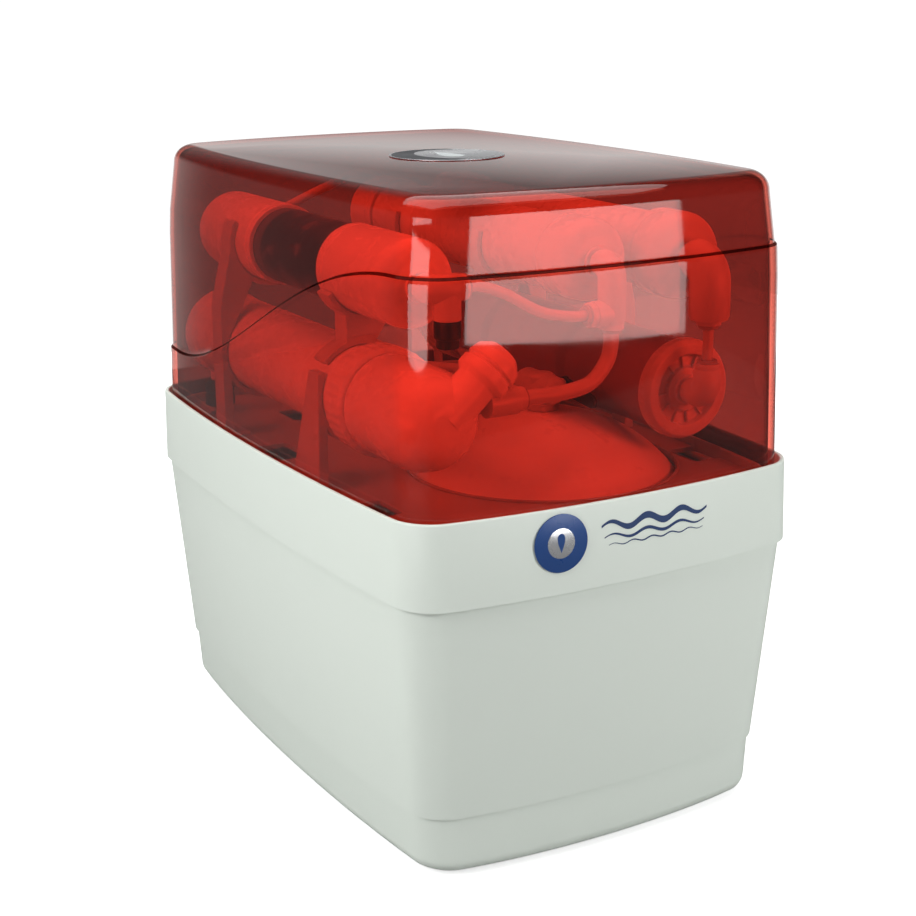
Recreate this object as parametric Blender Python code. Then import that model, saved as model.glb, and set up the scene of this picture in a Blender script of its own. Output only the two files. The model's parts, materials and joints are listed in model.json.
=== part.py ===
"""Closed-case reverse-osmosis water purifier: a white cabinet with a clear red lift-off hood.

Metres, +Z up. The origin is the centre of the footprint, on the surface that the case stands on.
The front face, which carries the round badge, looks towards -Y. Under the hood lie the membrane
housing and four in-line filters, all parallel to Y, and below the deck stands the storage tank.
"""

import math

import bmesh
import bpy
from mathutils import Vector

# ---- Driving dimensions ---------------------------------------------------------------------

GAP = 0.0003  # clearance between pieces that touch
WALL = 0.003  # moulded walls of the case
HOOD_WALL = 0.0025

# Half widths (x, y) of the case at the middle of its sides, at named heights.
FOOT_HEIGHT = 0.002
PLINTH_TOP = 0.040
BAND_BOTTOM = 0.1735
BAND_TOP = 0.224
HOOD_SHOULDER = 0.350
CASE_TOP = 0.400
PLINTH_LOW_HALF = (0.1290, 0.1990)
PLINTH_TOP_HALF = (0.1318, 0.1990)
CABINET_LOW_HALF = (0.1333, 0.2000)
CABINET_TOP_HALF = (0.1425, 0.2086)
BAND_LOW_HALF = (0.1445, 0.2106)
BAND_TOP_HALF = (0.1441, 0.2088)
HOOD_LOW_HALF = (0.1392, 0.2038)
HOOD_SHOULDER_HALF = (0.1362, 0.2015)
HOOD_TOP_HALF = (0.1302, 0.1977)

CORNER_RADIUS = 0.024
BOW_X = 0.010  # how far the ends of the side faces fall behind their middles
BOW_Y = 0.012  # the same for the front and rear faces
PLINTH_EDGE_RADIUS = 0.009
HOOD_EDGE_RADIUS = 0.012

# The moulded line round the hood: high at the front, falling in an S along both sides.
HOOD_LINE_FRONT = 0.357
HOOD_LINE_REAR = 0.257
HOOD_LINE_START_Y = -0.168
HOOD_LINE_END_Y = 0.157
HOOD_STEP = 0.0012  # the part under the line stands this much proud

LEDGE_TOP = 0.2065  # the ledge inside the band, which carries the deck and the hood
LEDGE_DEPTH = 0.004
LEDGE_REACH = 0.013
BAND_LIP = 0.0026
DECK_THICKNESS = 0.003
DECK_RIM_HEIGHT = 0.006
DECK_HALF = (0.1352, 0.2000)
DECK_BOTTOM = LEDGE_TOP + GAP
DECK_TOP = DECK_BOTTOM + DECK_THICKNESS

TANK_CENTRE = (0.022, -0.082)
TANK_RADIUS = 0.105
TANK_WALL = 0.0022
TANK_FOOT_RADIUS = 0.062
TANK_BOTTOM = 0.0062
TANK_SEAM = 0.112
TANK_SHOULDER = 0.150
TANK_TOP = 0.246
TANK_NECK_RADIUS = 0.012
TANK_FLANGE = 0.003
TANK_HOLE_RADIUS = 0.0858
TANK_KNEE = 0.068
TANK_LOWER_RIM = TANK_SEAM - 0.0025
DIAPHRAGM_THICKNESS = 0.0019

# Axes (x, z) of the pressure vessels, which all run parallel to Y.
MEMBRANE_AXIS = (-0.096, 0.268)
UPPER_LEFT_AXIS = (-0.090, 0.342)
UPPER_MID_AXIS = (0.026, 0.347)
UPPER_RIGHT_AXIS = (0.086, 0.346)
LOWER_RIGHT_AXIS = (0.086, 0.264)
MEMBRANE_RADIUS = 0.029
SLIM_RADIUS = 0.0235
WIDE_RADIUS = 0.0285
LABEL_THICKNESS = 0.0005
PORT_RADIUS = 0.0095

TUBE_RADIUS = 0.0032  # quarter-inch water tube
WIDE_TUBE_RADIUS = 0.0046  # three-eighth-inch tube
TUBE_LEAD = 0.006  # a tube's straight length outside a fitting
ELBOW_RADIUS = 0.0085
COLLET_RADIUS = 0.0068
ELBOW_REACH = 0.0135  # from a port's face to the elbow's middle
ELBOW_LEG = 0.0225  # from the elbow's middle to its mouth
LONG_LEG = 0.040
WIDE_ELBOW_RADIUS = 0.0125
WIDE_ELBOW_REACH = 0.0175

# The deck's tube holes as (x, y), and its hand slots as (x, y, half width in x, half width in y).
DECK_TUBE_HOLE = 0.0075
PRODUCT_HOLE = (0.026, 0.166)
FEED_HOLE = (0.0845, 0.168)
DRAIN_HOLE = (-0.105, 0.150)
DECK_SLOTS = (
    (0.11925, -0.1150, 0.01075, 0.0155),
    (-0.1165, -0.1150, 0.0125, 0.0155),
    (0.1165, 0.0400, 0.0110, 0.0170),
    (-0.1100, 0.0300, 0.0110, 0.0190),
    (0.0450, 0.1150, 0.0240, 0.0150),
    (-0.0450, 0.1150, 0.0240, 0.0150),
)

FOOT_RADIUS = 0.011
FOOT_SPOTS = (0.085, 0.150)
FRONT_BADGE_RADIUS = 0.0172
FRONT_BADGE_X = -0.0455
FRONT_BADGE_Z = 0.2038
TOP_BADGE_RADIUS = 0.0375
BADGE_THICKNESS = 0.0006

# Where the vessels' ends, joints and caps lie along Y.
FRONT_PORTS_Y = -0.150
MID_FRONT_PORT_Y = -0.138
UPPER_LEFT_FRONT_Y = -0.130
REAR_PORTS_Y = 0.158
REAR_CAP_JOINT_Y = 0.115
UPPER_LEFT_CAP_RADIUS = 0.0265
UPPER_MID_CAP_RADIUS = 0.0255
UPPER_RIGHT_CAP_RADIUS = 0.0270
LOWER_RIGHT_CAP_RADIUS = 0.0315
PORT_SHOULDER = PORT_RADIUS + 0.003  # where a cap's dome ends, round its port
PORT_STEP = 0.002  # how far a port's boss stands out

MEMBRANE_CAP_FRONT_Y = -0.170
MEMBRANE_CAP_RADIUS = 0.0308
MEMBRANE_NOSE_LENGTH = 0.030
MEMBRANE_NOSE_RADIUS = 0.0080
MEMBRANE_NUT_Y = (-0.100, -0.078)
MEMBRANE_NUT_RADIUS = 0.0338
MEMBRANE_REAR_Y = 0.166
MEMBRANE_SWELL_Y = 0.142
MEMBRANE_SWELL_RADIUS = 0.0305
MEMBRANE_BORE_END = 0.150
MEMBRANE_WALL = 0.0035
THREAD_DEPTH = 0.0015
INLET_BOSS_Y = -0.158
INLET_BOSS_ANGLE = math.radians(40)
INLET_BOSS_LENGTH = 0.057
OUTLET_NIPPLE = (-0.066, -0.160, 0.277)
OUTLET_MOUTH_X = -0.040
DRAIN_NIPPLE_DROP = 0.026  # from the housing's axis down to the nipple's root
DRAIN_NIPPLE_LENGTH = 0.0072
RESTRICTOR_LENGTH = 0.020

BRACKET_STRAP = 0.0036
BRACKET_DEPTH = 0.016
BRACKET_LEFT_X = 0.1295  # outer face of the left pair's posts, and of the right pair's
BRACKET_RIGHT_X = 0.1235
BRACKET_FOOT_X = 0.1115
BRACKET_POST = 0.0068
BRACKET_FOOT = 0.003
BRACKET_TOP_RISE = 0.032  # from the lower vessel's axis to where the post turns into a strap
LEFT_REAR_BRACKET_Y = 0.088
RIGHT_FRONT_BRACKET_Y = -0.032
RIGHT_REAR_BRACKET_Y = 0.080
DOUBLE_CLIP_Y = -0.056
SADDLE_PLAY = 0.0004
SADDLE_FRONT_Y = -0.069
SADDLE_REAR_Y = (-0.030, -0.056)  # at the foot and at the top, since its rear face slants
SADDLE_TOP_Z = 0.284

FRONTWARDS = (0, -1, 0)
REARWARDS = (0, 1, 0)
UP = (0, 0, 1)
DOWN = (0, 0, -1)
LEFTWARDS = (-1, 0, 0)
RIGHTWARDS = (1, 0, 0)
X_AXIS, Y_AXIS, Z_AXIS = Vector(RIGHTWARDS), Vector(REARWARDS), Vector(UP)

# The middles of the vessels' port faces.
MID_FRONT_PORT = (UPPER_MID_AXIS[0], MID_FRONT_PORT_Y, UPPER_MID_AXIS[1])
MID_REAR_PORT = (UPPER_MID_AXIS[0], REAR_PORTS_Y, UPPER_MID_AXIS[1])
RIGHT_FRONT_PORT = (UPPER_RIGHT_AXIS[0], FRONT_PORTS_Y, UPPER_RIGHT_AXIS[1])
RIGHT_REAR_PORT = (UPPER_RIGHT_AXIS[0], REAR_PORTS_Y, UPPER_RIGHT_AXIS[1])
LOWER_FRONT_PORT = (LOWER_RIGHT_AXIS[0], FRONT_PORTS_Y, LOWER_RIGHT_AXIS[1])
LOWER_REAR_PORT = (LOWER_RIGHT_AXIS[0], REAR_PORTS_Y, LOWER_RIGHT_AXIS[1])
LEFT_FRONT_PORT = (UPPER_LEFT_AXIS[0], UPPER_LEFT_FRONT_Y, UPPER_LEFT_AXIS[1])
LEFT_REAR_PORT = (UPPER_LEFT_AXIS[0], REAR_PORTS_Y, UPPER_LEFT_AXIS[1])
MEMBRANE_REAR_PORT = (MEMBRANE_AXIS[0], MEMBRANE_REAR_Y, MEMBRANE_AXIS[1])

BRANCH_RADIUS = 0.0080
LEFT_BRANCH_OFFSET = 0.009
LEFT_BRANCH_LENGTH = 0.034
MID_BRANCH_DROP = 0.028
MID_BRANCH_LENGTH = 0.019

PORT_ROW_Z = 0.078
PORT_SPACING = 0.050
PORT_INNER_Y = 0.190
PORT_REACH = 0.0081  # how far a port's mouth stands out from the rear wall
PORT_STEM_RADIUS = 0.0058
PORT_HOLE_RADIUS = 0.0064

VALVE_HEIGHT = 0.2605
VALVE_FRONT_Y = TANK_CENTRE[1] - 0.016
VALVE_REAR_Y = TANK_CENTRE[1] + 0.024
VALVE_BARREL_RADIUS = 0.0090
LEVER_PIVOT = (TANK_CENTRE[0] + 0.0135, TANK_CENTRE[1] - 0.006, VALVE_HEIGHT)
LEVER_THICKNESS = 0.003
LEVER_LENGTH = 0.030
LEVER_HUB_RADIUS = 0.0062
LEVER_TIP_RADIUS = 0.0042
LEVER_DROOP = 0.14

CORNER_STEPS = 4
LONG_SIDE_STEPS = 10
SHORT_SIDE_STEPS = 4
TURNED_SIDES = 20
TANK_SIDES = 30
TUBE_SIDES = 8
BADGE_SIDES = 32
SMALL_SIDES = 16
ELBOW_SIDES = 10
SHARP_ANGLE = math.radians(35)

# Colours, with roughness and metallic value.
WHITE_CASE = ((0.80, 0.83, 0.80), 0.38, 0.0)
WHITE_FITTING = ((0.82, 0.81, 0.77), 0.42, 0.0)
RED_CLEAR = ((0.62, 0.03, 0.02), 0.08, 0.0)
LABEL_DARK = ((0.05, 0.04, 0.06), 0.45, 0.0)
BLACK_FITTING = ((0.02, 0.02, 0.022), 0.45, 0.0)
RUBBER_BLACK = ((0.03, 0.03, 0.03), 0.8, 0.0)
BADGE_BLUE = ((0.03, 0.10, 0.32), 0.35, 0.0)
BADGE_SILVER = ((0.72, 0.73, 0.76), 0.3, 0.7)
TUBE_WHITE = ((0.85, 0.84, 0.80), 0.35, 0.0)
MEMBRANE_WRAP = ((0.70, 0.72, 0.74), 0.55, 0.0)
DIAPHRAGM_GREY = ((0.12, 0.12, 0.13), 0.75, 0.0)


# ---- Building blocks ------------------------------------------------------------------------


def clear_scene():
    for obj in list(bpy.data.objects):
        bpy.data.objects.remove(obj, do_unlink=True)


def material(name, finish):
    colour, roughness, metallic = finish
    made = bpy.data.materials.get(name) or bpy.data.materials.new(name)
    made.use_nodes = True
    shader = made.node_tree.nodes["Principled BSDF"]
    shader.inputs["Base Color"].default_value = (*colour, 1.0)
    shader.inputs["Roughness"].default_value = roughness
    shader.inputs["Metallic"].default_value = metallic
    return made


def add_object(name, points, faces, finish, origin=(0.0, 0.0, 0.0)):
    """A closed mesh given in world coordinates, with its object's origin at origin."""
    bm = bmesh.new()
    verts = [bm.verts.new(Vector(point) - Vector(origin)) for point in points]
    for face in faces:
        bm.faces.new([verts[index] for index in face])
    bmesh.ops.recalc_face_normals(bm, faces=bm.faces)
    mesh = bpy.data.meshes.new(name)
    bm.to_mesh(mesh)
    bm.free()
    mesh.shade_smooth()
    mesh.set_sharp_from_angle(angle=SHARP_ANGLE)
    mesh.materials.append(material(name, finish))
    obj = bpy.data.objects.new(name, mesh)
    obj.location = origin
    bpy.context.scene.collection.objects.link(obj)
    return obj


def loft(rings, capped=True):
    """Points and faces of a skin through rings of equal length; uncapped, it closes on itself."""
    count = len(rings[0])
    points = [point for ring in rings for point in ring]
    faces = []
    spans = len(rings) - 1 if capped else len(rings)
    for row in range(spans):
        low = row * count
        high = (row + 1) % len(rings) * count
        for k in range(count):
            after = (k + 1) % count
            faces.append((low + k, low + after, high + after, high + k))
    if capped:
        faces.append(tuple(range(count)))
        faces.append(tuple(range(len(points) - count, len(points))))
    return points, faces


def ring_about(centre, u, v, radius, sides):
    steps = [2 * math.pi * k / sides for k in range(sides)]
    return [Vector(centre) + radius * (math.cos(a) * u + math.sin(a) * v) for a in steps]


def turned(name, start, direction, profile, finish, sides=TURNED_SIDES, capped=True):
    """A body of revolution: profile holds (distance from start, radius) along direction."""
    along = Vector(direction).normalized()
    u = along.orthogonal().normalized()
    v = along.cross(u)
    rings = [ring_about(Vector(start) + t * along, u, v, r, sides) for t, r in profile]
    return add_object(name, *loft(rings, capped), finish)


def turned_along_y(name, axis, profile, finish, sides=TURNED_SIDES, capped=True):
    """The same about an axis (x, z) parallel to Y: profile holds (y, radius)."""
    rings = [
        ring_about((axis[0], y, axis[1]), Vector((1, 0, 0)), Vector((0, 0, 1)), r, sides)
        for y, r in profile
    ]
    return add_object(name, *loft(rings, capped), finish)


def smooth_route(knots, per_span):
    """Points of a Catmull-Rom curve through all the knots but the first and the last."""
    padded = [Vector(knot) for knot in knots]
    route = []
    for a, b, c, d in zip(padded, padded[1:], padded[2:], padded[3:]):
        for step in range(per_span):
            t = step / per_span
            route.append(
                0.5
                * (
                    2 * b
                    + (c - a) * t
                    + (2 * a - 5 * b + 4 * c - d) * t * t
                    + (3 * b - a - 3 * c + d) * t**3
                )
            )
    route.append(padded[-2])
    return route


def swept(name, route, radii, finish, sides=TUBE_SIDES):
    """A round body along a route of points, with one radius for each point."""
    route = [Vector(point) for point in route]
    tangents = []
    for k in range(len(route)):
        before = route[max(k - 1, 0)]
        after = route[min(k + 1, len(route) - 1)]
        tangents.append((after - before).normalized())
    u = tangents[0].orthogonal().normalized()
    rings = []
    for point, tangent, radius in zip(route, tangents, radii):
        u = (u - u.dot(tangent) * tangent).normalized()
        rings.append(ring_about(point, u, tangent.cross(u), radius, sides))
    return add_object(name, *loft(rings), finish)


def tube(name, start, knots, end, radius=TUBE_RADIUS, per_span=3):
    """A bent tube with straight ends: start and end are (point, direction out of the fitting)."""
    leads = [Vector(point) + TUBE_LEAD * Vector(out) for point, out in (start, end)]
    bend = smooth_route((start[0], leads[0], *knots, leads[1], end[0]), per_span)
    route = [Vector(start[0]), *bend, Vector(end[0])]
    return swept(name, route, [radius] * len(route), TUBE_WHITE)


def elbow(name, port, ways, leg=ELBOW_LEG, radius=ELBOW_RADIUS, reach=ELBOW_REACH):
    """A push-fit elbow on a vessel's port; ways holds its directions off the port and out."""
    inward, outward = (Vector(way) for way in ways)
    middle = Vector(port) + reach * inward
    bend = radius + 0.0005
    route = [Vector(port) + GAP * inward]
    radii = [PORT_RADIUS - 0.002]
    for degrees in (0, 30, 60, 90):
        angle = math.radians(degrees)
        offset = bend * ((math.sin(angle) - 1) * inward + (1 - math.cos(angle)) * outward)
        route.append(middle + offset)
        radii.append(radius)
    collar = leg - 0.005
    mouth = ((collar - 0.0004, radius), (collar, COLLET_RADIUS), (leg, COLLET_RADIUS))
    for distance, ring_radius in mouth:
        route.append(middle + distance * outward)
        radii.append(ring_radius)
    return swept(name, route, radii, WHITE_FITTING, ELBOW_SIDES)


def elbow_mouth(port, ways, leg=ELBOW_LEG, reach=ELBOW_REACH):
    """Where and in which direction a tube leaves an elbow's collet."""
    middle = Vector(port) + reach * Vector(ways[0])
    return middle + (leg + GAP) * Vector(ways[1]), ways[1]


def hidden(obj):
    obj.hide_render = True
    obj.display_type = "WIRE"
    return obj


def combine(obj, other, operation):
    """A Boolean of obj with other, which stays in the scene as a hidden guide."""
    modifier = obj.modifiers.new(operation.title(), "BOOLEAN")
    modifier.operation = operation
    modifier.object = hidden(other)
    return obj


def box_mesh(low, high):
    """Points and faces of an upright box."""
    rings = []
    for z in (low[2], high[2]):
        corners = ((low[0], low[1]), (high[0], low[1]), (high[0], high[1]), (low[0], high[1]))
        rings.append([Vector((x, y, z)) for x, y in corners])
    return loft(rings)


def joined_meshes(meshes):
    """Points and faces of several separate meshes as one."""
    points = []
    faces = []
    for some_points, some_faces in meshes:
        faces += [tuple(len(points) + index for index in face) for face in some_faces]
        points += some_points
    return points, faces


# ---- The case -------------------------------------------------------------------------------


def perimeter_stations():
    """Places round the case as (corner-centre shares, unit normal), anticlockwise from +X."""
    signs = ((1, 1), (-1, 1), (-1, -1), (1, -1))
    stations = []
    for quarter, here in enumerate(signs):
        for step in range(CORNER_STEPS + 1):
            angle = math.pi / 2 * (quarter + step / CORNER_STEPS)
            stations.append((here, (math.cos(angle), math.sin(angle))))
        there = signs[(quarter + 1) % 4]
        steps = SHORT_SIDE_STEPS if quarter % 2 == 0 else LONG_SIDE_STEPS
        for step in range(1, steps):
            share = step / steps
            along = tuple(h + share * (t - h) for h, t in zip(here, there))
            stations.append((along, stations[-1][1]))
    return stations


STATIONS = perimeter_stations()


def case_point(station, half, z, inset):
    """A point of the case's outline, whose sides bow outwards between the corners."""
    (share_x, share_y), (normal_x, normal_y) = station
    half_x = half[0] - inset
    half_y = half[1] - inset
    radius = max(CORNER_RADIUS - inset, 0.004)
    x = share_x * (half_x - radius) + normal_x * radius
    y = share_y * (half_y - radius) + normal_y * radius
    bowed_x = x - math.copysign(BOW_X * (y / half_y) ** 2 * abs(x / half_x) ** 3, x)
    bowed_y = y - math.copysign(BOW_Y * (x / half_x) ** 2 * abs(y / half_y) ** 3, y)
    return Vector((bowed_x, bowed_y, z))


def case_ring(half, z, inset=0.0):
    return [case_point(station, half, z, inset) for station in STATIONS]


def between(low, high, share):
    return tuple(a + share * (b - a) for a, b in zip(low, high))


def band_half(z):
    return between(BAND_LOW_HALF, BAND_TOP_HALF, (z - BAND_BOTTOM) / (BAND_TOP - BAND_BOTTOM))


def cabinet_half(z):
    share = (z - PLINTH_TOP) / (BAND_BOTTOM - PLINTH_TOP)
    return between(CABINET_LOW_HALF, CABINET_TOP_HALF, share)


def plinth_half(z):
    return between(PLINTH_LOW_HALF, PLINTH_TOP_HALF, z / PLINTH_TOP)


def hood_half(z):
    if z < HOOD_SHOULDER:
        share = (z - LEDGE_TOP) / (HOOD_SHOULDER - LEDGE_TOP)
        return between(HOOD_LOW_HALF, HOOD_SHOULDER_HALF, share)
    share = (z - HOOD_SHOULDER) / (CASE_TOP - HOOD_SHOULDER)
    return between(HOOD_SHOULDER_HALF, HOOD_TOP_HALF, share)


def hood_line_height(y):
    share = (y - HOOD_LINE_START_Y) / (HOOD_LINE_END_Y - HOOD_LINE_START_Y)
    share = min(max(share, 0.0), 1.0)
    ease = share * share * (3 - 2 * share)
    return HOOD_LINE_FRONT + ease * (HOOD_LINE_REAR - HOOD_LINE_FRONT)


def make_base_pan():
    """The plinth with its floor: a rounded foot edge, and a lip that enters the cabinet."""
    low = FOOT_HEIGHT
    lip_top = PLINTH_TOP + 0.010
    lip = 0.0026
    floor = low + WALL
    inner = WALL + 0.0015
    rings = [
        case_ring(plinth_half(floor), floor, PLINTH_EDGE_RADIUS),
        case_ring(plinth_half(floor + 0.006), floor + 0.006, inner),
        case_ring(plinth_half(PLINTH_TOP), PLINTH_TOP, inner),
        case_ring(plinth_half(PLINTH_TOP), lip_top, inner),
        case_ring(plinth_half(PLINTH_TOP), lip_top, lip),
        case_ring(plinth_half(PLINTH_TOP), PLINTH_TOP - GAP, lip),
        case_ring(plinth_half(PLINTH_TOP), PLINTH_TOP - GAP),
    ]
    for degrees in (0, 30, 60, 90):
        angle = math.radians(degrees)
        z = low + PLINTH_EDGE_RADIUS * (1 - math.sin(angle))
        inset = PLINTH_EDGE_RADIUS * (1 - math.cos(angle))
        rings.append(case_ring(plinth_half(z), z, inset))
    return add_object("base_pan", *loft(rings), WHITE_CASE)


def make_lower_cabinet():
    """The four walls between plinth and band, whose top slips up inside the band."""
    neck_top = 0.197
    neck_outer = 0.0020
    neck_inner = 0.0040
    shoulder = BAND_BOTTOM - GAP
    rings = [
        case_ring(cabinet_half(PLINTH_TOP), PLINTH_TOP),
        case_ring(cabinet_half(shoulder), shoulder),
        case_ring(CABINET_TOP_HALF, shoulder, neck_outer),
        case_ring(CABINET_TOP_HALF, neck_top, neck_outer),
        case_ring(CABINET_TOP_HALF, neck_top, neck_inner),
        case_ring(cabinet_half(shoulder), shoulder, neck_inner),
        case_ring(cabinet_half(PLINTH_TOP), PLINTH_TOP, WALL),
    ]
    return add_object("lower_cabinet", *loft(rings, capped=False), WHITE_CASE)


def make_trim_band():
    """The raised white band, with the inner ledge and a rounded top edge."""
    ledge_low = LEDGE_TOP - LEDGE_DEPTH
    edge = 0.0012
    rings = [
        case_ring(band_half(BAND_BOTTOM), BAND_BOTTOM),
        case_ring(band_half(BAND_TOP - edge), BAND_TOP - edge),
        case_ring(band_half(BAND_TOP), BAND_TOP, edge),
        case_ring(band_half(BAND_TOP), BAND_TOP, BAND_LIP),
        case_ring(band_half(LEDGE_TOP), LEDGE_TOP, BAND_LIP + 0.0002),
        case_ring(band_half(LEDGE_TOP), LEDGE_TOP, LEDGE_REACH),
        case_ring(band_half(ledge_low), ledge_low, LEDGE_REACH),
        case_ring(band_half(ledge_low), ledge_low, BAND_LIP),
        case_ring(band_half(BAND_BOTTOM), BAND_BOTTOM, BAND_LIP),
    ]
    return add_object("trim_band", *loft(rings, capped=False), WHITE_CASE)


def hood_line_ring(offset, outset):
    """The hood's ring that follows the moulded line, offset above or below it."""
    ring = []
    for station in STATIONS:
        y = case_point(station, HOOD_SHOULDER_HALF, 0.0, 0.0).y
        z = hood_line_height(y) + offset
        ring.append(case_point(station, hood_half(z), z, -outset))
    return ring


def hood_ring_towards_top(share, top_z, inset):
    """A ring part of the way from the moulded line up to top_z."""
    ring = []
    for station in STATIONS:
        y = case_point(station, HOOD_SHOULDER_HALF, 0.0, 0.0).y
        line = hood_line_height(y)
        z = line + share * (top_z - line)
        ring.append(case_point(station, hood_half(z), z, inset))
    return ring


def make_hood():
    """The clear hood: an open-bottomed shell with a step under its moulded line."""
    low = LEDGE_TOP + GAP
    arc_start = CASE_TOP - HOOD_EDGE_RADIUS
    inner_top = CASE_TOP - HOOD_WALL
    half_step = 0.0006
    rings = [
        case_ring(HOOD_TOP_HALF, inner_top, HOOD_EDGE_RADIUS),
        case_ring(hood_half(arc_start), arc_start, HOOD_WALL),
        hood_ring_towards_top(0.4, arc_start, HOOD_WALL),
        hood_line_ring(0.0, -HOOD_WALL),
        case_ring(hood_half(low), low, HOOD_WALL),
        case_ring(hood_half(low), low, -HOOD_STEP),
        hood_line_ring(-half_step, HOOD_STEP),
        hood_line_ring(half_step, 0.0),
        hood_ring_towards_top(0.4, arc_start, 0.0),
    ]
    for degrees in (0, 30, 60, 90):
        angle = math.radians(degrees)
        z = arc_start + HOOD_EDGE_RADIUS * math.sin(angle)
        inset = HOOD_EDGE_RADIUS * (1 - math.cos(angle))
        rings.append(case_ring(hood_half(arc_start), z, inset))
    return add_object("hood", *loft(rings), RED_CLEAR)


def make_filter_deck():
    """The inner tray that closes the cabinet and carries the filters, with a raised rim."""
    rim_top = DECK_TOP + DECK_RIM_HEIGHT
    rim = 0.0028
    rings = [
        case_ring(DECK_HALF, DECK_BOTTOM),
        case_ring(DECK_HALF, rim_top),
        case_ring(DECK_HALF, rim_top, rim),
        case_ring(DECK_HALF, DECK_TOP, rim),
    ]
    deck = add_object("filter_deck", *loft(rings), WHITE_CASE)
    return combine(deck, deck_cutter(), "DIFFERENCE")


def deck_cutter():
    """Everything that is cut through the deck: the tank's hole, hand slots and tube holes."""
    low = DECK_BOTTOM - 0.005
    high = DECK_TOP + 0.020
    round_holes = (
        (*TANK_CENTRE, TANK_HOLE_RADIUS, TANK_SIDES),
        (*PRODUCT_HOLE, DECK_TUBE_HOLE, TUBE_SIDES),
        (*FEED_HOLE, DECK_TUBE_HOLE, TUBE_SIDES),
        (*DRAIN_HOLE, DECK_TUBE_HOLE, TUBE_SIDES),
    )
    meshes = []
    for x, y, radius, sides in round_holes:
        rings = [ring_about((x, y, z), X_AXIS, Y_AXIS, radius, sides) for z in (low, high)]
        meshes.append(loft(rings))
    for x, y, half_x, half_y in DECK_SLOTS:
        meshes.append(box_mesh((x - half_x, y - half_y, low), (x + half_x, y + half_y, high)))
    return add_object("deck_cutter", *joined_meshes(meshes), WHITE_CASE)


def make_feet():
    """Four rubber feet, sunk into the plinth's floor."""
    foot_x, foot_y = FOOT_SPOTS
    profile = ((0.0, FOOT_RADIUS - 0.001), (0.0004, FOOT_RADIUS), (FOOT_HEIGHT - GAP, FOOT_RADIUS))
    for row, y in (("front", -foot_y), ("rear", foot_y)):
        for column, x in (("left", -foot_x), ("right", foot_x)):
            turned(f"foot_{row}_{column}", (x, y, 0.0), UP, profile, RUBBER_BLACK)


def make_badges():
    """A round badge on the band's bowed front and a round medallion on the hood's top."""
    half_x, half_y = band_half(FRONT_BADGE_Z)
    surface_y = BOW_Y * (FRONT_BADGE_X / half_x) ** 2 - half_y
    slope = 2 * BOW_Y * FRONT_BADGE_X / half_x**2
    lean = (BAND_LOW_HALF[1] - BAND_TOP_HALF[1]) / (BAND_TOP - BAND_BOTTOM)
    outward = Vector((slope, -1, lean)).normalized()
    seat = Vector((FRONT_BADGE_X, surface_y, FRONT_BADGE_Z)) + GAP * outward
    turned("front_badge", seat, outward, badge_profile(FRONT_BADGE_RADIUS), BADGE_BLUE, BADGE_SIDES)
    seat = (0, 0, CASE_TOP + GAP)
    turned("top_badge", seat, UP, badge_profile(TOP_BADGE_RADIUS), BADGE_SILVER, BADGE_SIDES)


def badge_profile(radius):
    """A thin disc with a chamfered outer edge."""
    chamfer = BADGE_THICKNESS / 2
    return ((0.0, radius), (chamfer, radius), (BADGE_THICKNESS, radius - chamfer))


# ---- The filters and the membrane housing ---------------------------------------------------


def dome(start, end, radius, end_radius, steps=4):
    """Profile points of a rounded shoulder from start at radius to end at end_radius."""
    points = []
    for step in range(1, steps + 1):
        angle = math.pi / 2 * step / steps
        along = start + (end - start) * math.sin(angle)
        points.append((along, end_radius + (radius - end_radius) * math.cos(angle)))
    return points


def port_boss(face, outward_sign):
    """The boss round a vessel's port, with its face at face."""
    return [(face - PORT_STEP * outward_sign, PORT_RADIUS), (face, PORT_RADIUS)]


def make_filter(name, axis, ends, radius, cap_radius, label, front_shape):
    """An in-line filter: body, front cap, rear cap and, where it has one, a printed label."""
    front_end, front_joint, rear_joint, rear_end = ends
    body = ((front_joint + GAP, radius), (rear_joint - GAP, radius))
    turned_along_y(f"{name}_body", axis, body, WHITE_FITTING)
    if label:
        inner = radius + GAP
        outer = inner + LABEL_THICKNESS
        sleeve = ((label[0], inner), (label[0], outer), (label[1], outer), (label[1], inner))
        turned_along_y(f"{name}_label", axis, sleeve, LABEL_DARK, capped=False)
    front = [(front_joint, cap_radius), *front_shape(front_end, cap_radius)]
    turned_along_y(f"{name}_front_cap", axis, front, WHITE_FITTING)
    shoulder = rear_end - 0.016
    rear = [(rear_joint, cap_radius), (shoulder, cap_radius)]
    rear += dome(shoulder, rear_end - PORT_STEP, cap_radius, PORT_SHOULDER)
    rear += port_boss(rear_end, 1)
    turned_along_y(f"{name}_rear_cap", axis, rear, WHITE_FITTING)


def domed_front(end, radius):
    """A front cap that closes in a rounded shoulder."""
    shoulder = end + 0.014
    points = [(shoulder, radius)]
    points += dome(shoulder, end + PORT_STEP, radius, PORT_SHOULDER)
    return points + port_boss(end, -1)


def recessed_front(end, radius):
    """A front cap with a broad outer ring, a sunk face and a stepped boss in its middle."""
    rim = 0.009
    sunk = end + 0.005
    step = end + PORT_STEP
    return [
        (end + 0.003, radius),
        (end, radius - 0.002),
        (end, radius - rim),
        (sunk, radius - rim - 0.001),
        (sunk, PORT_RADIUS + 0.005),
        (step, PORT_RADIUS + 0.004),
        (step, PORT_RADIUS),
        (end, PORT_RADIUS),
    ]


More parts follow.
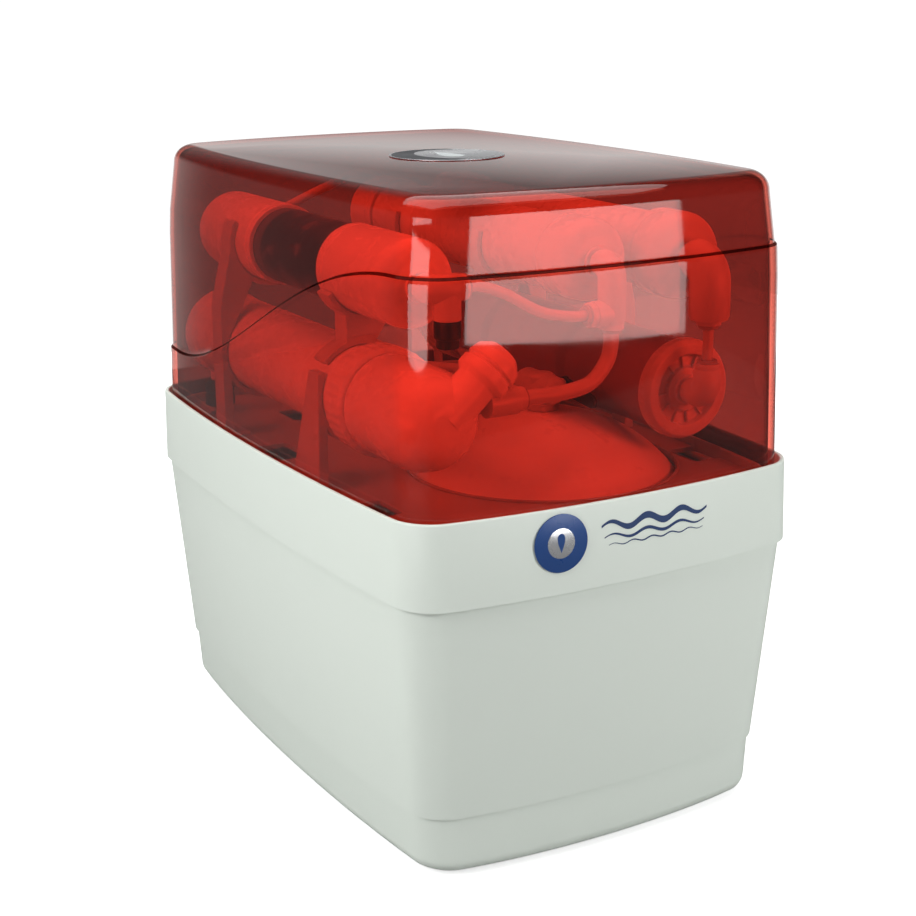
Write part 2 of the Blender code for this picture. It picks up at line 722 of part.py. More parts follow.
def make_filters():
    make_filter(
        "upper_left_filter",
        UPPER_LEFT_AXIS,
        (UPPER_LEFT_FRONT_Y, -0.045, 0.057, REAR_PORTS_Y),
        SLIM_RADIUS,
        UPPER_LEFT_CAP_RADIUS,
        (-0.0440, 0.0560),
        domed_front,
    )
    make_filter(
        "upper_mid_filter",
        UPPER_MID_AXIS,
        (MID_FRONT_PORT_Y, -0.100, REAR_CAP_JOINT_Y, REAR_PORTS_Y),
        SLIM_RADIUS,
        UPPER_MID_CAP_RADIUS,
        None,
        domed_front,
    )
    make_filter(
        "upper_right_filter",
        UPPER_RIGHT_AXIS,
        (FRONT_PORTS_Y, -0.115, REAR_CAP_JOINT_Y, REAR_PORTS_Y),
        SLIM_RADIUS,
        UPPER_RIGHT_CAP_RADIUS,
        None,
        domed_front,
    )
    make_filter(
        "lower_right_filter",
        LOWER_RIGHT_AXIS,
        (FRONT_PORTS_Y, -0.140, REAR_CAP_JOINT_Y, REAR_PORTS_Y),
        WIDE_RADIUS,
        LOWER_RIGHT_CAP_RADIUS,
        (-0.1375, 0.1080),
        recessed_front,
    )


def inlet_boss_direction():
    return Vector((math.cos(INLET_BOSS_ANGLE), 0, math.sin(INLET_BOSS_ANGLE)))


def make_membrane_housing():
    """The membrane housing: a deep cup with a wide closed end and a drain nipple under it."""
    nut_end = MEMBRANE_NUT_Y[1] + GAP
    thread_end = MEMBRANE_NUT_Y[0] + 0.004
    bore = MEMBRANE_RADIUS - MEMBRANE_WALL
    thread = MEMBRANE_RADIUS - THREAD_DEPTH
    shoulder = MEMBRANE_REAR_Y - 0.010
    profile = [
        (MEMBRANE_BORE_END, bore),
        (thread_end, bore),
        (thread_end, thread),
        (nut_end, thread),
        (nut_end, MEMBRANE_RADIUS),
        (MEMBRANE_SWELL_Y, MEMBRANE_RADIUS),
        (MEMBRANE_SWELL_Y + 0.003, MEMBRANE_SWELL_RADIUS),
        (shoulder, MEMBRANE_SWELL_RADIUS),
    ]
    rear_step = MEMBRANE_REAR_Y - PORT_STEP
    profile += dome(shoulder, rear_step, MEMBRANE_SWELL_RADIUS, PORT_SHOULDER + 0.001, 3)
    profile += port_boss(MEMBRANE_REAR_Y, 1)
    housing = turned_along_y("membrane_housing", MEMBRANE_AXIS, profile, WHITE_FITTING)
    nipple_top = (*DRAIN_HOLE, MEMBRANE_AXIS[1] - DRAIN_NIPPLE_DROP)
    nipple_profile = ((0, 0.006), (DRAIN_NIPPLE_LENGTH, 0.006))
    nipple = turned("drain_nipple", nipple_top, DOWN, nipple_profile, WHITE_FITTING)
    return combine(housing, nipple, "UNION")


def make_membrane_nut():
    """The ring nut that draws the cap onto the housing, with a chamfer at both ends."""
    front, rear = MEMBRANE_NUT_Y
    inner = MEMBRANE_RADIUS - THREAD_DEPTH + GAP
    outer = MEMBRANE_NUT_RADIUS
    chamfer = 0.002
    profile = (
        (front, inner),
        (front, outer - chamfer),
        (front + chamfer, outer),
        (rear - chamfer, outer),
        (rear, outer - chamfer),
        (rear, inner),
    )
    return turned_along_y("membrane_ring_nut", MEMBRANE_AXIS, profile, WHITE_FITTING, capped=False)


def make_membrane_cap():
    """The housing's front cap: a barrel with a rounded nose, an inlet boss and an outlet."""
    front = MEMBRANE_CAP_FRONT_Y
    shoulder = front + MEMBRANE_NOSE_LENGTH
    radius = MEMBRANE_CAP_RADIUS
    profile = [(MEMBRANE_NUT_Y[0] - GAP, radius), (shoulder, radius)]
    profile += dome(shoulder, front, radius, MEMBRANE_NOSE_RADIUS, 7)
    cap = turned_along_y("membrane_cap", MEMBRANE_AXIS, profile, WHITE_FITTING)
    combine(cap, make_inlet_boss(), "UNION")
    return combine(cap, make_outlet_nipple(), "UNION")


def make_inlet_boss():
    """The slanting boss on the cap, with two collars and a narrower tip."""
    barrel, collar, groove, tip = 0.0128, 0.0165, 0.0150, 0.0095
    profile = (
        (0.004, barrel),
        (0.033, barrel),
        (0.036, collar),
        (0.042, collar),
        (0.0424, groove),
        (0.0445, groove),
        (0.0449, collar),
        (0.0515, groove),
        (INLET_BOSS_LENGTH, tip),
    )
    start = (MEMBRANE_AXIS[0], INLET_BOSS_Y, MEMBRANE_AXIS[1])
    return turned("inlet_boss", start, inlet_boss_direction(), profile, WHITE_FITTING, SMALL_SIDES)


def make_outlet_nipple():
    """The short outlet on the cap's side that the wide tube starts from."""
    reach = OUTLET_MOUTH_X - OUTLET_NIPPLE[0]
    collar = reach - 0.006
    barrel, mouth = 0.0085, 0.0072
    profile = ((0.0, barrel), (collar, barrel), (collar + 0.0004, mouth), (reach, mouth))
    return turned("outlet_nipple", OUTLET_NIPPLE, RIGHTWARDS, profile, WHITE_FITTING, 12)


def make_membrane_element():
    """The wound membrane inside the housing, between its end caps."""
    radius = MEMBRANE_RADIUS - MEMBRANE_WALL - 0.0012
    stem = 0.009
    front = MEMBRANE_NUT_Y[0] + 0.002
    rear = MEMBRANE_BORE_END - 0.002
    profile = (
        (front, stem),
        (front + 0.010, stem),
        (front + 0.010, radius),
        (rear - 0.010, radius),
        (rear - 0.010, stem),
        (rear, stem),
    )
    return turned_along_y("membrane_element", MEMBRANE_AXIS, profile, MEMBRANE_WRAP, SMALL_SIDES)


# ---- The clip brackets ----------------------------------------------------------------------


def arc(centre, radius, start, end, steps=6):
    """Points (x, z) of an arc, with its angles in degrees from +X towards +Z."""
    points = []
    for step in range(steps + 1):
        angle = math.radians(start + (end - start) * step / steps)
        points.append((centre[0] + radius * math.cos(angle), centre[1] + radius * math.sin(angle)))
    return points


def saddle(centre, radius, start, end, steps=9):
    """The same, with every chord clear of the circle, so that a vessel fits inside."""
    half_step = math.radians(abs(end - start) / steps / 2)
    return arc(centre, radius / math.cos(half_step), start, end, steps)


def bracket_outline(outer_x, lower, lower_radius, upper, upper_radius, middle=None):
    """The bracket's outline for the left side, where x is negative; the right side mirrors it.

    lower, upper and middle are vessel axes (x, z); each sits in an open-topped saddle.
    """
    foot_low = DECK_TOP + GAP
    lower_out = lower_radius + BRACKET_STRAP
    upper_out = upper_radius + BRACKET_STRAP
    post_inner = -outer_x + BRACKET_POST
    meet = math.degrees(math.acos((post_inner - lower[0]) / lower_out))
    outline = [(-outer_x, foot_low), (-BRACKET_FOOT_X, foot_low)]
    outline += [(-BRACKET_FOOT_X, foot_low + BRACKET_FOOT), (post_inner, foot_low + BRACKET_FOOT)]
    outline += arc(lower, lower_out, 360 - meet, 335)
    outline += saddle(lower, lower_radius, 335, 150)
    outline += arc(upper, upper_out, 240, 270, 2)
    if middle:
        outline += [(middle[0], upper[1] - upper_out)]
        outline += arc(middle, upper_out, 270, 380, 5)[1:]
        outline += saddle(middle, upper_radius, 380, 180)
        outline += saddle(upper, upper_radius, 350, 150)
    else:
        outline += arc(upper, upper_out, 270, 335, 3)[1:]
        outline += saddle(upper, upper_radius, 335, 150)
    outline += arc(upper, upper_out, 150, 185, 2)
    outline += [(-outer_x, lower[1] + BRACKET_TOP_RISE)]
    return outline


def make_bracket(name, outline, y, mirror):
    """A moulded bracket: the outline, extruded along Y."""
    sign = -1 if mirror else 1
    rings = []
    for offset in (-BRACKET_DEPTH / 2, BRACKET_DEPTH / 2):
        rings.append([Vector((sign * x, y + offset, z)) for x, z in outline])
    return add_object(name, *loft(rings), WHITE_FITTING)


def mirrored(axis):
    return (-axis[0], axis[1])


def make_front_saddle():
    """The short saddle under the membrane housing's front, on a post that widens rearwards."""
    radius = MEMBRANE_RADIUS + SADDLE_PLAY
    outer = radius + BRACKET_STRAP
    foot_low = DECK_TOP + GAP
    post_inner = -BRACKET_LEFT_X + BRACKET_POST
    meet = math.degrees(math.acos((post_inner - MEMBRANE_AXIS[0]) / outer))
    outline = [(-BRACKET_LEFT_X, foot_low), (post_inner, foot_low)]
    outline += arc(MEMBRANE_AXIS, outer, 360 - meet, 330)
    outline += saddle(MEMBRANE_AXIS, radius, 330, 156)
    outline += [(post_inner, SADDLE_TOP_Z), (-BRACKET_LEFT_X + 0.001, SADDLE_TOP_Z)]
    front = [Vector((x, SADDLE_FRONT_Y, z)) for x, z in outline]
    rear = []
    for x, z in outline:
        share = (z - foot_low) / (SADDLE_TOP_Z - foot_low)
        rear.append(Vector((x, SADDLE_REAR_Y[0] + share * (SADDLE_REAR_Y[1] - SADDLE_REAR_Y[0]), z)))
    return add_object("saddle_left_front", *loft([front, rear]), WHITE_FITTING)


def make_double_clip():
    """The figure-of-eight clip that holds the upper left filter on the membrane housing."""
    lower = MEMBRANE_RADIUS + SADDLE_PLAY
    upper = UPPER_LEFT_CAP_RADIUS + SADDLE_PLAY
    outline = saddle(MEMBRANE_AXIS, lower, 12, 140, 6)
    outline += arc(MEMBRANE_AXIS, lower + BRACKET_STRAP, 140, 108, 2)
    outline += arc(UPPER_LEFT_AXIS, upper + BRACKET_STRAP, 238, 204, 3)
    outline += saddle(UPPER_LEFT_AXIS, upper, 204, 372, 9)
    outline += arc(UPPER_LEFT_AXIS, upper + BRACKET_STRAP, 372, 302, 4)
    outline += arc(MEMBRANE_AXIS, lower + BRACKET_STRAP, 72, 12, 4)
    return make_bracket("double_clip_left", outline, DOUBLE_CLIP_Y, False)


def make_brackets():
    """The supports that stand on the deck and hold the vessels in open-topped saddles."""
    label = LABEL_THICKNESS + GAP
    left = bracket_outline(
        BRACKET_LEFT_X,
        MEMBRANE_AXIS,
        MEMBRANE_RADIUS + SADDLE_PLAY,
        UPPER_LEFT_AXIS,
        UPPER_LEFT_CAP_RADIUS + SADDLE_PLAY,
    )
    right = bracket_outline(
        BRACKET_RIGHT_X,
        mirrored(LOWER_RIGHT_AXIS),
        WIDE_RADIUS + label + SADDLE_PLAY,
        mirrored(UPPER_RIGHT_AXIS),
        SLIM_RADIUS + SADDLE_PLAY,
        mirrored(UPPER_MID_AXIS),
    )
    make_front_saddle()
    make_double_clip()
    make_bracket("bracket_left_rear", left, LEFT_REAR_BRACKET_Y, False)
    make_bracket("bracket_right_front", right, RIGHT_FRONT_BRACKET_Y, True)
    make_bracket("bracket_right_rear", right, RIGHT_REAR_BRACKET_Y, True)


# ---- Fittings and tubes ---------------------------------------------------------------------


def make_elbows():
    elbow("elbow_upper_mid_rear", MID_REAR_PORT, (REARWARDS, DOWN))
    elbow(
        "elbow_upper_right_front",
        RIGHT_FRONT_PORT,
        (FRONTWARDS, DOWN),
        LONG_LEG,
        WIDE_ELBOW_RADIUS,
        WIDE_ELBOW_REACH,
    )
    elbow("elbow_upper_right_rear", RIGHT_REAR_PORT, (REARWARDS, LEFTWARDS))
    elbow(
        "elbow_lower_right_front",
        LOWER_FRONT_PORT,
        (FRONTWARDS, UP),
        reach=WIDE_ELBOW_REACH,
    )
    elbow("elbow_lower_right_rear", LOWER_REAR_PORT, (REARWARDS, DOWN))
    elbow("elbow_upper_left_rear", LEFT_REAR_PORT, (REARWARDS, RIGHTWARDS))
    elbow("elbow_membrane_rear", MEMBRANE_REAR_PORT, (REARWARDS, RIGHTWARDS))


def add_branch(fitting, start, direction, length):
    """One more mouth on a fitting, with its collet."""
    collar = length - 0.005
    profile = (
        (0.0, BRANCH_RADIUS),
        (collar - 0.0004, BRANCH_RADIUS),
        (collar, COLLET_RADIUS),
        (length, COLLET_RADIUS),
    )
    branch = turned(f"{fitting.name}_branch", start, direction, profile, WHITE_FITTING, ELBOW_SIDES)
    return combine(fitting, branch, "UNION")


def make_tees():
    """The tees at the front of the upper left and upper middle filters."""
    left = elbow("tee_upper_left_front", LEFT_FRONT_PORT, (FRONTWARDS, RIGHTWARDS))
    middle = Vector(LEFT_FRONT_PORT) + ELBOW_REACH * Vector(FRONTWARDS)
    add_branch(left, middle + Vector((LEFT_BRANCH_OFFSET, 0, 0)), DOWN, LEFT_BRANCH_LENGTH)
    mid = elbow("tee_upper_mid_front", MID_FRONT_PORT, (FRONTWARDS, DOWN), LONG_LEG)
    add_branch(mid, mid_branch_start(), LEFTWARDS, MID_BRANCH_LENGTH)


def mid_branch_start():
    middle = Vector(MID_FRONT_PORT) + ELBOW_REACH * Vector(FRONTWARDS)
    return middle + MID_BRANCH_DROP * Vector(DOWN)


def make_flow_restrictor():
    """The black restrictor under the housing's drain nipple, where the drain tube starts."""
    top = MEMBRANE_AXIS[1] - DRAIN_NIPPLE_DROP - DRAIN_NIPPLE_LENGTH - GAP
    end_shoulder = RESTRICTOR_LENGTH - 0.002
    profile = ((0.0, 0.0075), (0.002, 0.0105), (end_shoulder, 0.0105), (RESTRICTOR_LENGTH, 0.0058))
    turned("flow_restrictor", (*DRAIN_HOLE, top), DOWN, profile, BLACK_FITTING, SMALL_SIDES)
    return top - RESTRICTOR_LENGTH


def bulkhead_port(name, x):
    """A push-fit port through the cabinet's rear wall: inner stem, flange and outer collet."""
    wall_y = case_rear_y(x, PORT_ROW_Z)
    flange_y = wall_y + 0.0009
    flange_end = wall_y + 0.0030
    profile = (
        (PORT_INNER_Y, PORT_STEM_RADIUS),
        (flange_y, PORT_STEM_RADIUS),
        (flange_y, PORT_RADIUS),
        (flange_end, PORT_RADIUS),
        (flange_end + 0.0004, 0.0070),
        (wall_y + PORT_REACH, 0.0066),
    )
    turned_along_y(name, (x, PORT_ROW_Z), profile, WHITE_FITTING, SMALL_SIDES)


def case_rear_y(x, z):
    """The cabinet's rear surface at x, which the bow brings forward away from the middle."""
    half_x, half_y = cabinet_half(z)
    return half_y - BOW_Y * (x / half_x) ** 2


def cut_port_holes(cabinet):
    """The three holes in the rear wall that the ports pass through."""
    meshes = []
    for x in (-PORT_SPACING, 0.0, PORT_SPACING):
        rings = []
        for y in (0.180, 0.230):
            centre = (x, y, PORT_ROW_Z)
            rings.append(ring_about(centre, X_AXIS, Z_AXIS, PORT_HOLE_RADIUS, SMALL_SIDES))
        meshes.append(loft(rings))
    cutter = add_object("port_hole_cutter", *joined_meshes(meshes), WHITE_CASE)
    return combine(cabinet, cutter, "DIFFERENCE")


def make_ports():
    bulkhead_port("port_drain", -PORT_SPACING)
    bulkhead_port("port_product", 0.0)
    bulkhead_port("port_feed", PORT_SPACING)


def rear_port_end(x):
    return (x, PORT_INNER_Y - GAP, PORT_ROW_Z), FRONTWARDS


def make_front_tubes():
    """The tubes at the front ends of the vessels."""
    down, up = (FRONTWARDS, DOWN), (FRONTWARDS, UP)
    link_start, _ = elbow_mouth(RIGHT_FRONT_PORT, down, LONG_LEG, WIDE_ELBOW_REACH)
    link_end, _ = elbow_mouth(LOWER_FRONT_PORT, up, reach=WIDE_ELBOW_REACH)
    swept("tube_right_link", (link_start, link_end), [TUBE_RADIUS] * 2, TUBE_WHITE)
    nipple_y, nipple_z = OUTLET_NIPPLE[1:]
    tube(
        "tube_membrane_loop",
        elbow_mouth(MID_FRONT_PORT, (FRONTWARDS, DOWN), LONG_LEG),
        (
            (0.0220, -0.1530, 0.2900),
            (0.0080, -0.1560, 0.2790),
            (-0.0140, -0.1590, 0.2765),
        ),
        ((OUTLET_MOUTH_X + GAP, nipple_y, nipple_z), RIGHTWARDS),
        WIDE_TUBE_RADIUS,
    )
    tube(
        "tube_front_cross",
        elbow_mouth(LEFT_FRONT_PORT, (FRONTWARDS, RIGHTWARDS)),
        ((-0.0440, -0.1440, 0.3360), (-0.0200, -0.1470, 0.3230)),
        (mid_branch_start() + (MID_BRANCH_LENGTH + GAP) * Vector(LEFTWARDS), LEFTWARDS),
    )


def make_rear_tubes():
    """The tubes at the rear ends of the vessels."""
    cross_y = REAR_PORTS_Y + ELBOW_REACH
    tube(
        "tube_rear_cross",
        elbow_mouth(RIGHT_REAR_PORT, (REARWARDS, LEFTWARDS)),
        ((0.0420, cross_y, 0.3600), (0.0240, cross_y, 0.3720), (-0.0100, cross_y, 0.3620)),
        elbow_mouth(LEFT_REAR_PORT, (REARWARDS, RIGHTWARDS)),
    )
    tube(
        "tube_permeate",
        elbow_mouth(MEMBRANE_REAR_PORT, (REARWARDS, RIGHTWARDS)),
        (
            (-0.0450, 0.1680, 0.2640),
            (-0.0260, 0.1350, 0.2580),
            (-0.0080, 0.0700, 0.2520),
            (0.0120, 0.0000, 0.2570),
        ),
        ((TANK_CENTRE[0], VALVE_REAR_Y + GAP, VALVE_HEIGHT), REARWARDS),
    )


def make_service_tubes(drain_start_z):
    """The tubes that run down through the deck to the ports in the rear wall."""
    tube(
        "tube_product",
        elbow_mouth(MID_REAR_PORT, (REARWARDS, DOWN)),
        ((0.0260, 0.1690, 0.2700), (*PRODUCT_HOLE, 0.2090), (0.0140, 0.1600, 0.1200)),
        rear_port_end(0.0),
    )
    tube(
        "tube_feed",
        elbow_mouth(LOWER_REAR_PORT, (REARWARDS, DOWN)),
        ((*FEED_HOLE, 0.2090), (0.0720, 0.1600, 0.1250)),
        rear_port_end(PORT_SPACING),
    )
    tube(
        "tube_drain",
        ((*DRAIN_HOLE, drain_start_z - GAP), DOWN),
        ((*DRAIN_HOLE, 0.1980), (-0.0840, 0.1560, 0.1250)),
        rear_port_end(-PORT_SPACING),
    )


# ---- The tank and its valve -----------------------------------------------------------------


def tank_profile_upper(radius_offset):
    """Outer or inner surface of the upper shell above its shoulder, from low to high."""
    radius = TANK_RADIUS - radius_offset
    rise = TANK_TOP - radius_offset - TANK_SHOULDER
    points = [(TANK_SHOULDER, radius)]
    for degrees in (15, 30, 43, 55, 66, 76):
        angle = math.radians(degrees)
        points.append((TANK_SHOULDER + rise * math.sin(angle), radius * math.cos(angle)))
    return points


def tank_part(name, profile, finish):
    """A body of revolution about the tank's axis: profile holds (z, radius)."""
    rings = [ring_about((*TANK_CENTRE, z), X_AXIS, Y_AXIS, r, TANK_SIDES) for z, r in profile]
    return add_object(name, *loft(rings, capped=False), finish)


def make_tank():
    """Two shells with flanged rims, and the rubber diaphragm between water and air."""
    make_tank_upper_shell()
    make_tank_lower_shell()
    make_tank_diaphragm()


def make_tank_upper_shell():
    """The dome that stands up through the deck, with the neck that the valve screws onto."""
    upper_low = TANK_SEAM + GAP
    neck_bore = 0.0062
    profile = [
        (upper_low, TANK_RADIUS - TANK_WALL),
        (upper_low, TANK_RADIUS + TANK_FLANGE),
        (upper_low + 0.003, TANK_RADIUS + TANK_FLANGE),
        (upper_low + 0.005, TANK_RADIUS),
        *tank_profile_upper(0.0),
        (TANK_TOP - 0.0004, TANK_NECK_RADIUS + 0.004),
        (TANK_TOP, TANK_NECK_RADIUS),
        (TANK_TOP, neck_bore),
        (TANK_TOP - 0.006, neck_bore),
        *reversed(tank_profile_upper(TANK_WALL)),
    ]
    return tank_part("tank_upper_shell", profile, WHITE_FITTING)


def make_tank_lower_shell():
    """The bowl, with a hole in its floor for the air valve."""
    floor_high = TANK_BOTTOM + 0.0042
    slope_high, slope_inner, slope_outer = 0.036, 0.0900, 0.0922
    air_hole = 0.006
    profile = [
        (TANK_LOWER_RIM, TANK_RADIUS - TANK_WALL),
        (TANK_KNEE, TANK_RADIUS - TANK_WALL),
        (slope_high, slope_inner),
        (floor_high, TANK_FOOT_RADIUS - 0.004),
        (floor_high, air_hole),
        (TANK_BOTTOM + 0.002, air_hole),
        (TANK_BOTTOM, TANK_FOOT_RADIUS - 0.010),
        (TANK_BOTTOM, TANK_FOOT_RADIUS),
        (slope_high - 0.002, slope_outer),
        (TANK_KNEE, TANK_RADIUS),
        (TANK_LOWER_RIM - 0.005, TANK_RADIUS),
        (TANK_LOWER_RIM - 0.003, TANK_RADIUS + TANK_FLANGE),
        (TANK_LOWER_RIM, TANK_RADIUS + TANK_FLANGE),
    ]
    return tank_part("tank_lower_shell", profile, WHITE_FITTING)


def make_tank_diaphragm():
    """The rubber sheet, whose rim is held between the shells and whose middle sags."""
    rim_outer = TANK_RADIUS + TANK_FLANGE - 0.0005
    rim_inner = TANK_RADIUS - TANK_WALL - 0.001
    rim_low = TANK_LOWER_RIM + GAP
    slack = ((0.097, 0.096), (0.083, 0.078), (0.076, 0.048), (0.074, 0.004))
    profile = [(rim_low, rim_inner), (rim_low, rim_outer)]
    profile += [(TANK_SEAM, rim_outer), (TANK_SEAM, rim_inner)]
    profile += [(z + DIAPHRAGM_THICKNESS, radius) for z, radius in slack]
    profile += reversed(slack)
    return tank_part("tank_diaphragm", profile, DIAPHRAGM_GREY)


def make_tank_valve():
    """The ball valve on the tank's neck: an upright stem, a through barrel and a side boss."""
    stem_low = TANK_TOP + GAP
    nut, neck = 0.0110, 0.0085
    stem_profile = ((0.0, nut), (0.005, nut), (0.0055, neck), (0.020, neck))
    stem_start = (*TANK_CENTRE, stem_low)
    stem = turned("tank_valve_body", stem_start, UP, stem_profile, WHITE_FITTING, SMALL_SIDES)
    barrel_profile = (
        (VALVE_FRONT_Y, VALVE_BARREL_RADIUS - 0.0015),
        (VALVE_FRONT_Y + 0.0015, VALVE_BARREL_RADIUS),
        (VALVE_REAR_Y - 0.0044, VALVE_BARREL_RADIUS),
        (VALVE_REAR_Y - 0.004, COLLET_RADIUS),
        (VALVE_REAR_Y, COLLET_RADIUS),
    )
    axis = (TANK_CENTRE[0], VALVE_HEIGHT)
    barrel = turned_along_y("valve_barrel", axis, barrel_profile, WHITE_FITTING, SMALL_SIDES)
    combine(stem, barrel, "UNION")
    boss_start = (TANK_CENTRE[0], LEVER_PIVOT[1], LEVER_PIVOT[2])
    boss_length = LEVER_PIVOT[0] - TANK_CENTRE[0] - LEVER_THICKNESS / 2 - GAP
    boss_profile = ((0.0, 0.0052), (boss_length, 0.0052))
    boss = turned("lever_boss", boss_start, RIGHTWARDS, boss_profile, WHITE_FITTING, 12)
    return combine(stem, boss, "UNION")


def make_tank_valve_lever():
    """The lever on the valve's side, which turns about X: along the barrel is open, upright shut."""
    half = LEVER_THICKNESS / 2
    outline = arc((0.0, 0.0), LEVER_HUB_RADIUS, 60, 300, 8)
    outline += arc((LEVER_LENGTH, 0.0), LEVER_TIP_RADIUS, 270, 450, 6)
    rings = []
    for x in (-half, half):
        ring = []
        for forward, rise in outline:
            droop = -LEVER_DROOP * max(forward, 0.0)
            ring.append(Vector(LEVER_PIVOT) + Vector((x, -forward, rise + droop)))
        rings.append(ring)
    return add_object("tank_valve_lever", *loft(rings), BLACK_FITTING, LEVER_PIVOT)


# ---- Assembly -------------------------------------------------------------------------------


def main():
    clear_scene()
    make_base_pan()
    cut_port_holes(make_lower_cabinet())
    make_trim_band()
    make_filter_deck()
    make_hood()
    make_feet()
    make_badges()
    make_filters()
    make_membrane_housing()
    make_membrane_nut()
    make_membrane_cap()
    make_membrane_element()
    make_brackets()
    make_elbows()
    make_tees()
    drain_start_z = make_flow_restrictor()
    make_ports()
    make_front_tubes()
    make_rear_tubes()
    make_service_tubes(drain_start_z)
    make_tank()
    make_tank_valve()
    make_tank_valve_lever()


main()
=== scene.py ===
"""The water purifier's looks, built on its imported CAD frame."""

import json
import math

import bmesh
import bpy
from mathutils import Matrix, Vector


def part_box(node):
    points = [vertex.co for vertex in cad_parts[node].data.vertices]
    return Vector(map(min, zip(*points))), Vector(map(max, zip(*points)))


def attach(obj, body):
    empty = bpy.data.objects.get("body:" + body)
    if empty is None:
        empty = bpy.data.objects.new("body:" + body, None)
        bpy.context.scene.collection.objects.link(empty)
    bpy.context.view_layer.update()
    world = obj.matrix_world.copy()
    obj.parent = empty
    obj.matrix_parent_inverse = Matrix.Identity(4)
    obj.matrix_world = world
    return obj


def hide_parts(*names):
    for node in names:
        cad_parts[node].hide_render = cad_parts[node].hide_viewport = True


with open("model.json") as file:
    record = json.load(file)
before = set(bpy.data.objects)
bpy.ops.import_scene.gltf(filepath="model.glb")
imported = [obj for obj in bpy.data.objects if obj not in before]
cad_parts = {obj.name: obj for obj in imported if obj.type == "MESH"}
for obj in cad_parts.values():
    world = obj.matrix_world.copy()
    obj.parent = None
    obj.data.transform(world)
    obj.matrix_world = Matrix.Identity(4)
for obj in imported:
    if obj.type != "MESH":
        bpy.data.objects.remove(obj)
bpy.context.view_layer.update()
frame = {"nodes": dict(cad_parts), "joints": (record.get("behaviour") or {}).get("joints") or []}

# ---- Dimensions, in metres ----

PLAY = 0.0003
LIP = 0.0026
WALL = 0.003
HOOD_WALL = 0.0025
PLINTH_TOP = 0.040
BAND_BOTTOM = 0.1735
BAND_TOP = 0.224
LEDGE_TOP = 0.2065
LEDGE_WIDTH = 0.013
HOOD_SHOULDER = 0.350
CASE_TOP = 0.400
CORNER_RADIUS = 0.024
BOW_X = 0.010
BOW_Y = 0.012
PLINTH_EDGE = 0.009
HOOD_EDGE = 0.012
HOOD_STEP = 0.0012
HOOD_SEAM_HALF = 0.0008
HOOD_SEAM_SHARES = (-0.6, -0.2, 0.2, 0.6, 1.0)
HOOD_LINE_FRONT = 0.357
HOOD_LINE_REAR = 0.257
HOOD_LINE_START_Y = -0.168
HOOD_LINE_END_Y = 0.157
FRONT_BADGE_X = -0.0455
FRONT_BADGE_Z = 0.2038
TUBE_RADIUS = 0.0032
WIDE_TUBE_RADIUS = 0.0046
PORT_RADIUS = 0.0095
PORT_BORE = PORT_RADIUS - 0.0022
ELBOW_RADIUS = 0.0085
ELBOW_REACH = 0.0135
ELBOW_LEG = 0.0225
LONG_LEG = 0.040
WIDE_ELBOW_RADIUS = 0.0125
WIDE_ELBOW_REACH = 0.0175

# Half widths (x, y) of the case at the middle of its sides.
PLINTH_LOW_HALF = (0.1290, 0.1990)
PLINTH_TOP_HALF = (0.1318, 0.1990)
CABINET_LOW_HALF = (0.1333, 0.2000)
CABINET_TOP_HALF = (0.1425, 0.2086)
BAND_LOW_HALF = (0.1445, 0.2106)
BAND_TOP_HALF = (0.1441, 0.2088)
HOOD_LOW_HALF = (0.1392, 0.2038)
HOOD_SHOULDER_HALF = (0.1362, 0.2015)
HOOD_TOP_HALF = (0.1302, 0.1977)
DECK_HALF = (0.1352, 0.2000)

CORNER_STEPS = 14
SIDE_STEPS = 44
TURNED_SIDES = 72
TUBE_SIDES = 24
SMOOTH_ANGLE = math.radians(38)

FRONTWARDS = Vector((0, -1, 0))
REARWARDS = Vector((0, 1, 0))
UP = Vector((0, 0, 1))
DOWN = Vector((0, 0, -1))
LEFTWARDS = Vector((-1, 0, 0))
RIGHTWARDS = Vector((1, 0, 0))

# ---- Materials ----


def feed(tree, socket, value):
    """Links a socket to another one, or sets it to a number or a colour."""
    if isinstance(value, bpy.types.NodeSocket):
        tree.links.new(value, socket)
    elif socket.type == "RGBA":
        socket.default_value = (*value, 1.0)
    else:
        socket.default_value = value


def add_node(tree, kind, inputs, **settings):
    """A shader node: its settings first, then its inputs by name or number."""
    node = tree.nodes.new("ShaderNode" + kind)
    for name, value in settings.items():
        setattr(node, name, value)
    for key, value in inputs.items():
        feed(tree, node.inputs[key], value)
    return node


def new_material(name):
    made = bpy.data.materials.new(name)
    made.use_nodes = True
    return made, made.node_tree, made.node_tree.nodes["Principled BSDF"]


def noise(tree, scale, detail=3.0, roughness=0.55):
    spot = add_node(tree, "TexCoord", {}).outputs["Object"]
    inputs = {"Vector": spot, "Scale": scale, "Detail": detail, "Roughness": roughness}
    return add_node(tree, "TexNoise", inputs).outputs["Fac"]


def spread(tree, source, low, high, from_low=0.3, from_high=0.7, **settings):
    """A value stretched from one range onto another."""
    inputs = {"Value": source, "From Min": from_low, "From Max": from_high, "To Min": low, "To Max": high}
    return add_node(tree, "MapRange", inputs, **settings).outputs["Result"]


def mixed_colour(tree, factor, first, second):
    inputs = {"Factor": factor, "A": first, "B": second}
    return add_node(tree, "Mix", inputs, data_type="RGBA").outputs["Result"]


def maths(tree, operation, *values):
    """A math node on values that are each a socket or a number."""
    inputs = dict(enumerate(values))
    return add_node(tree, "Math", inputs, operation=operation).outputs["Value"]


def add_bump(tree, shader, height, strength, distance):
    inputs = {"Height": height, "Strength": strength, "Distance": distance}
    feed(tree, shader.inputs["Normal"], add_node(tree, "Bump", inputs).outputs["Normal"])


PLASTIC_IOR = 1.46
GRAIN_DEPTH = 0.00006


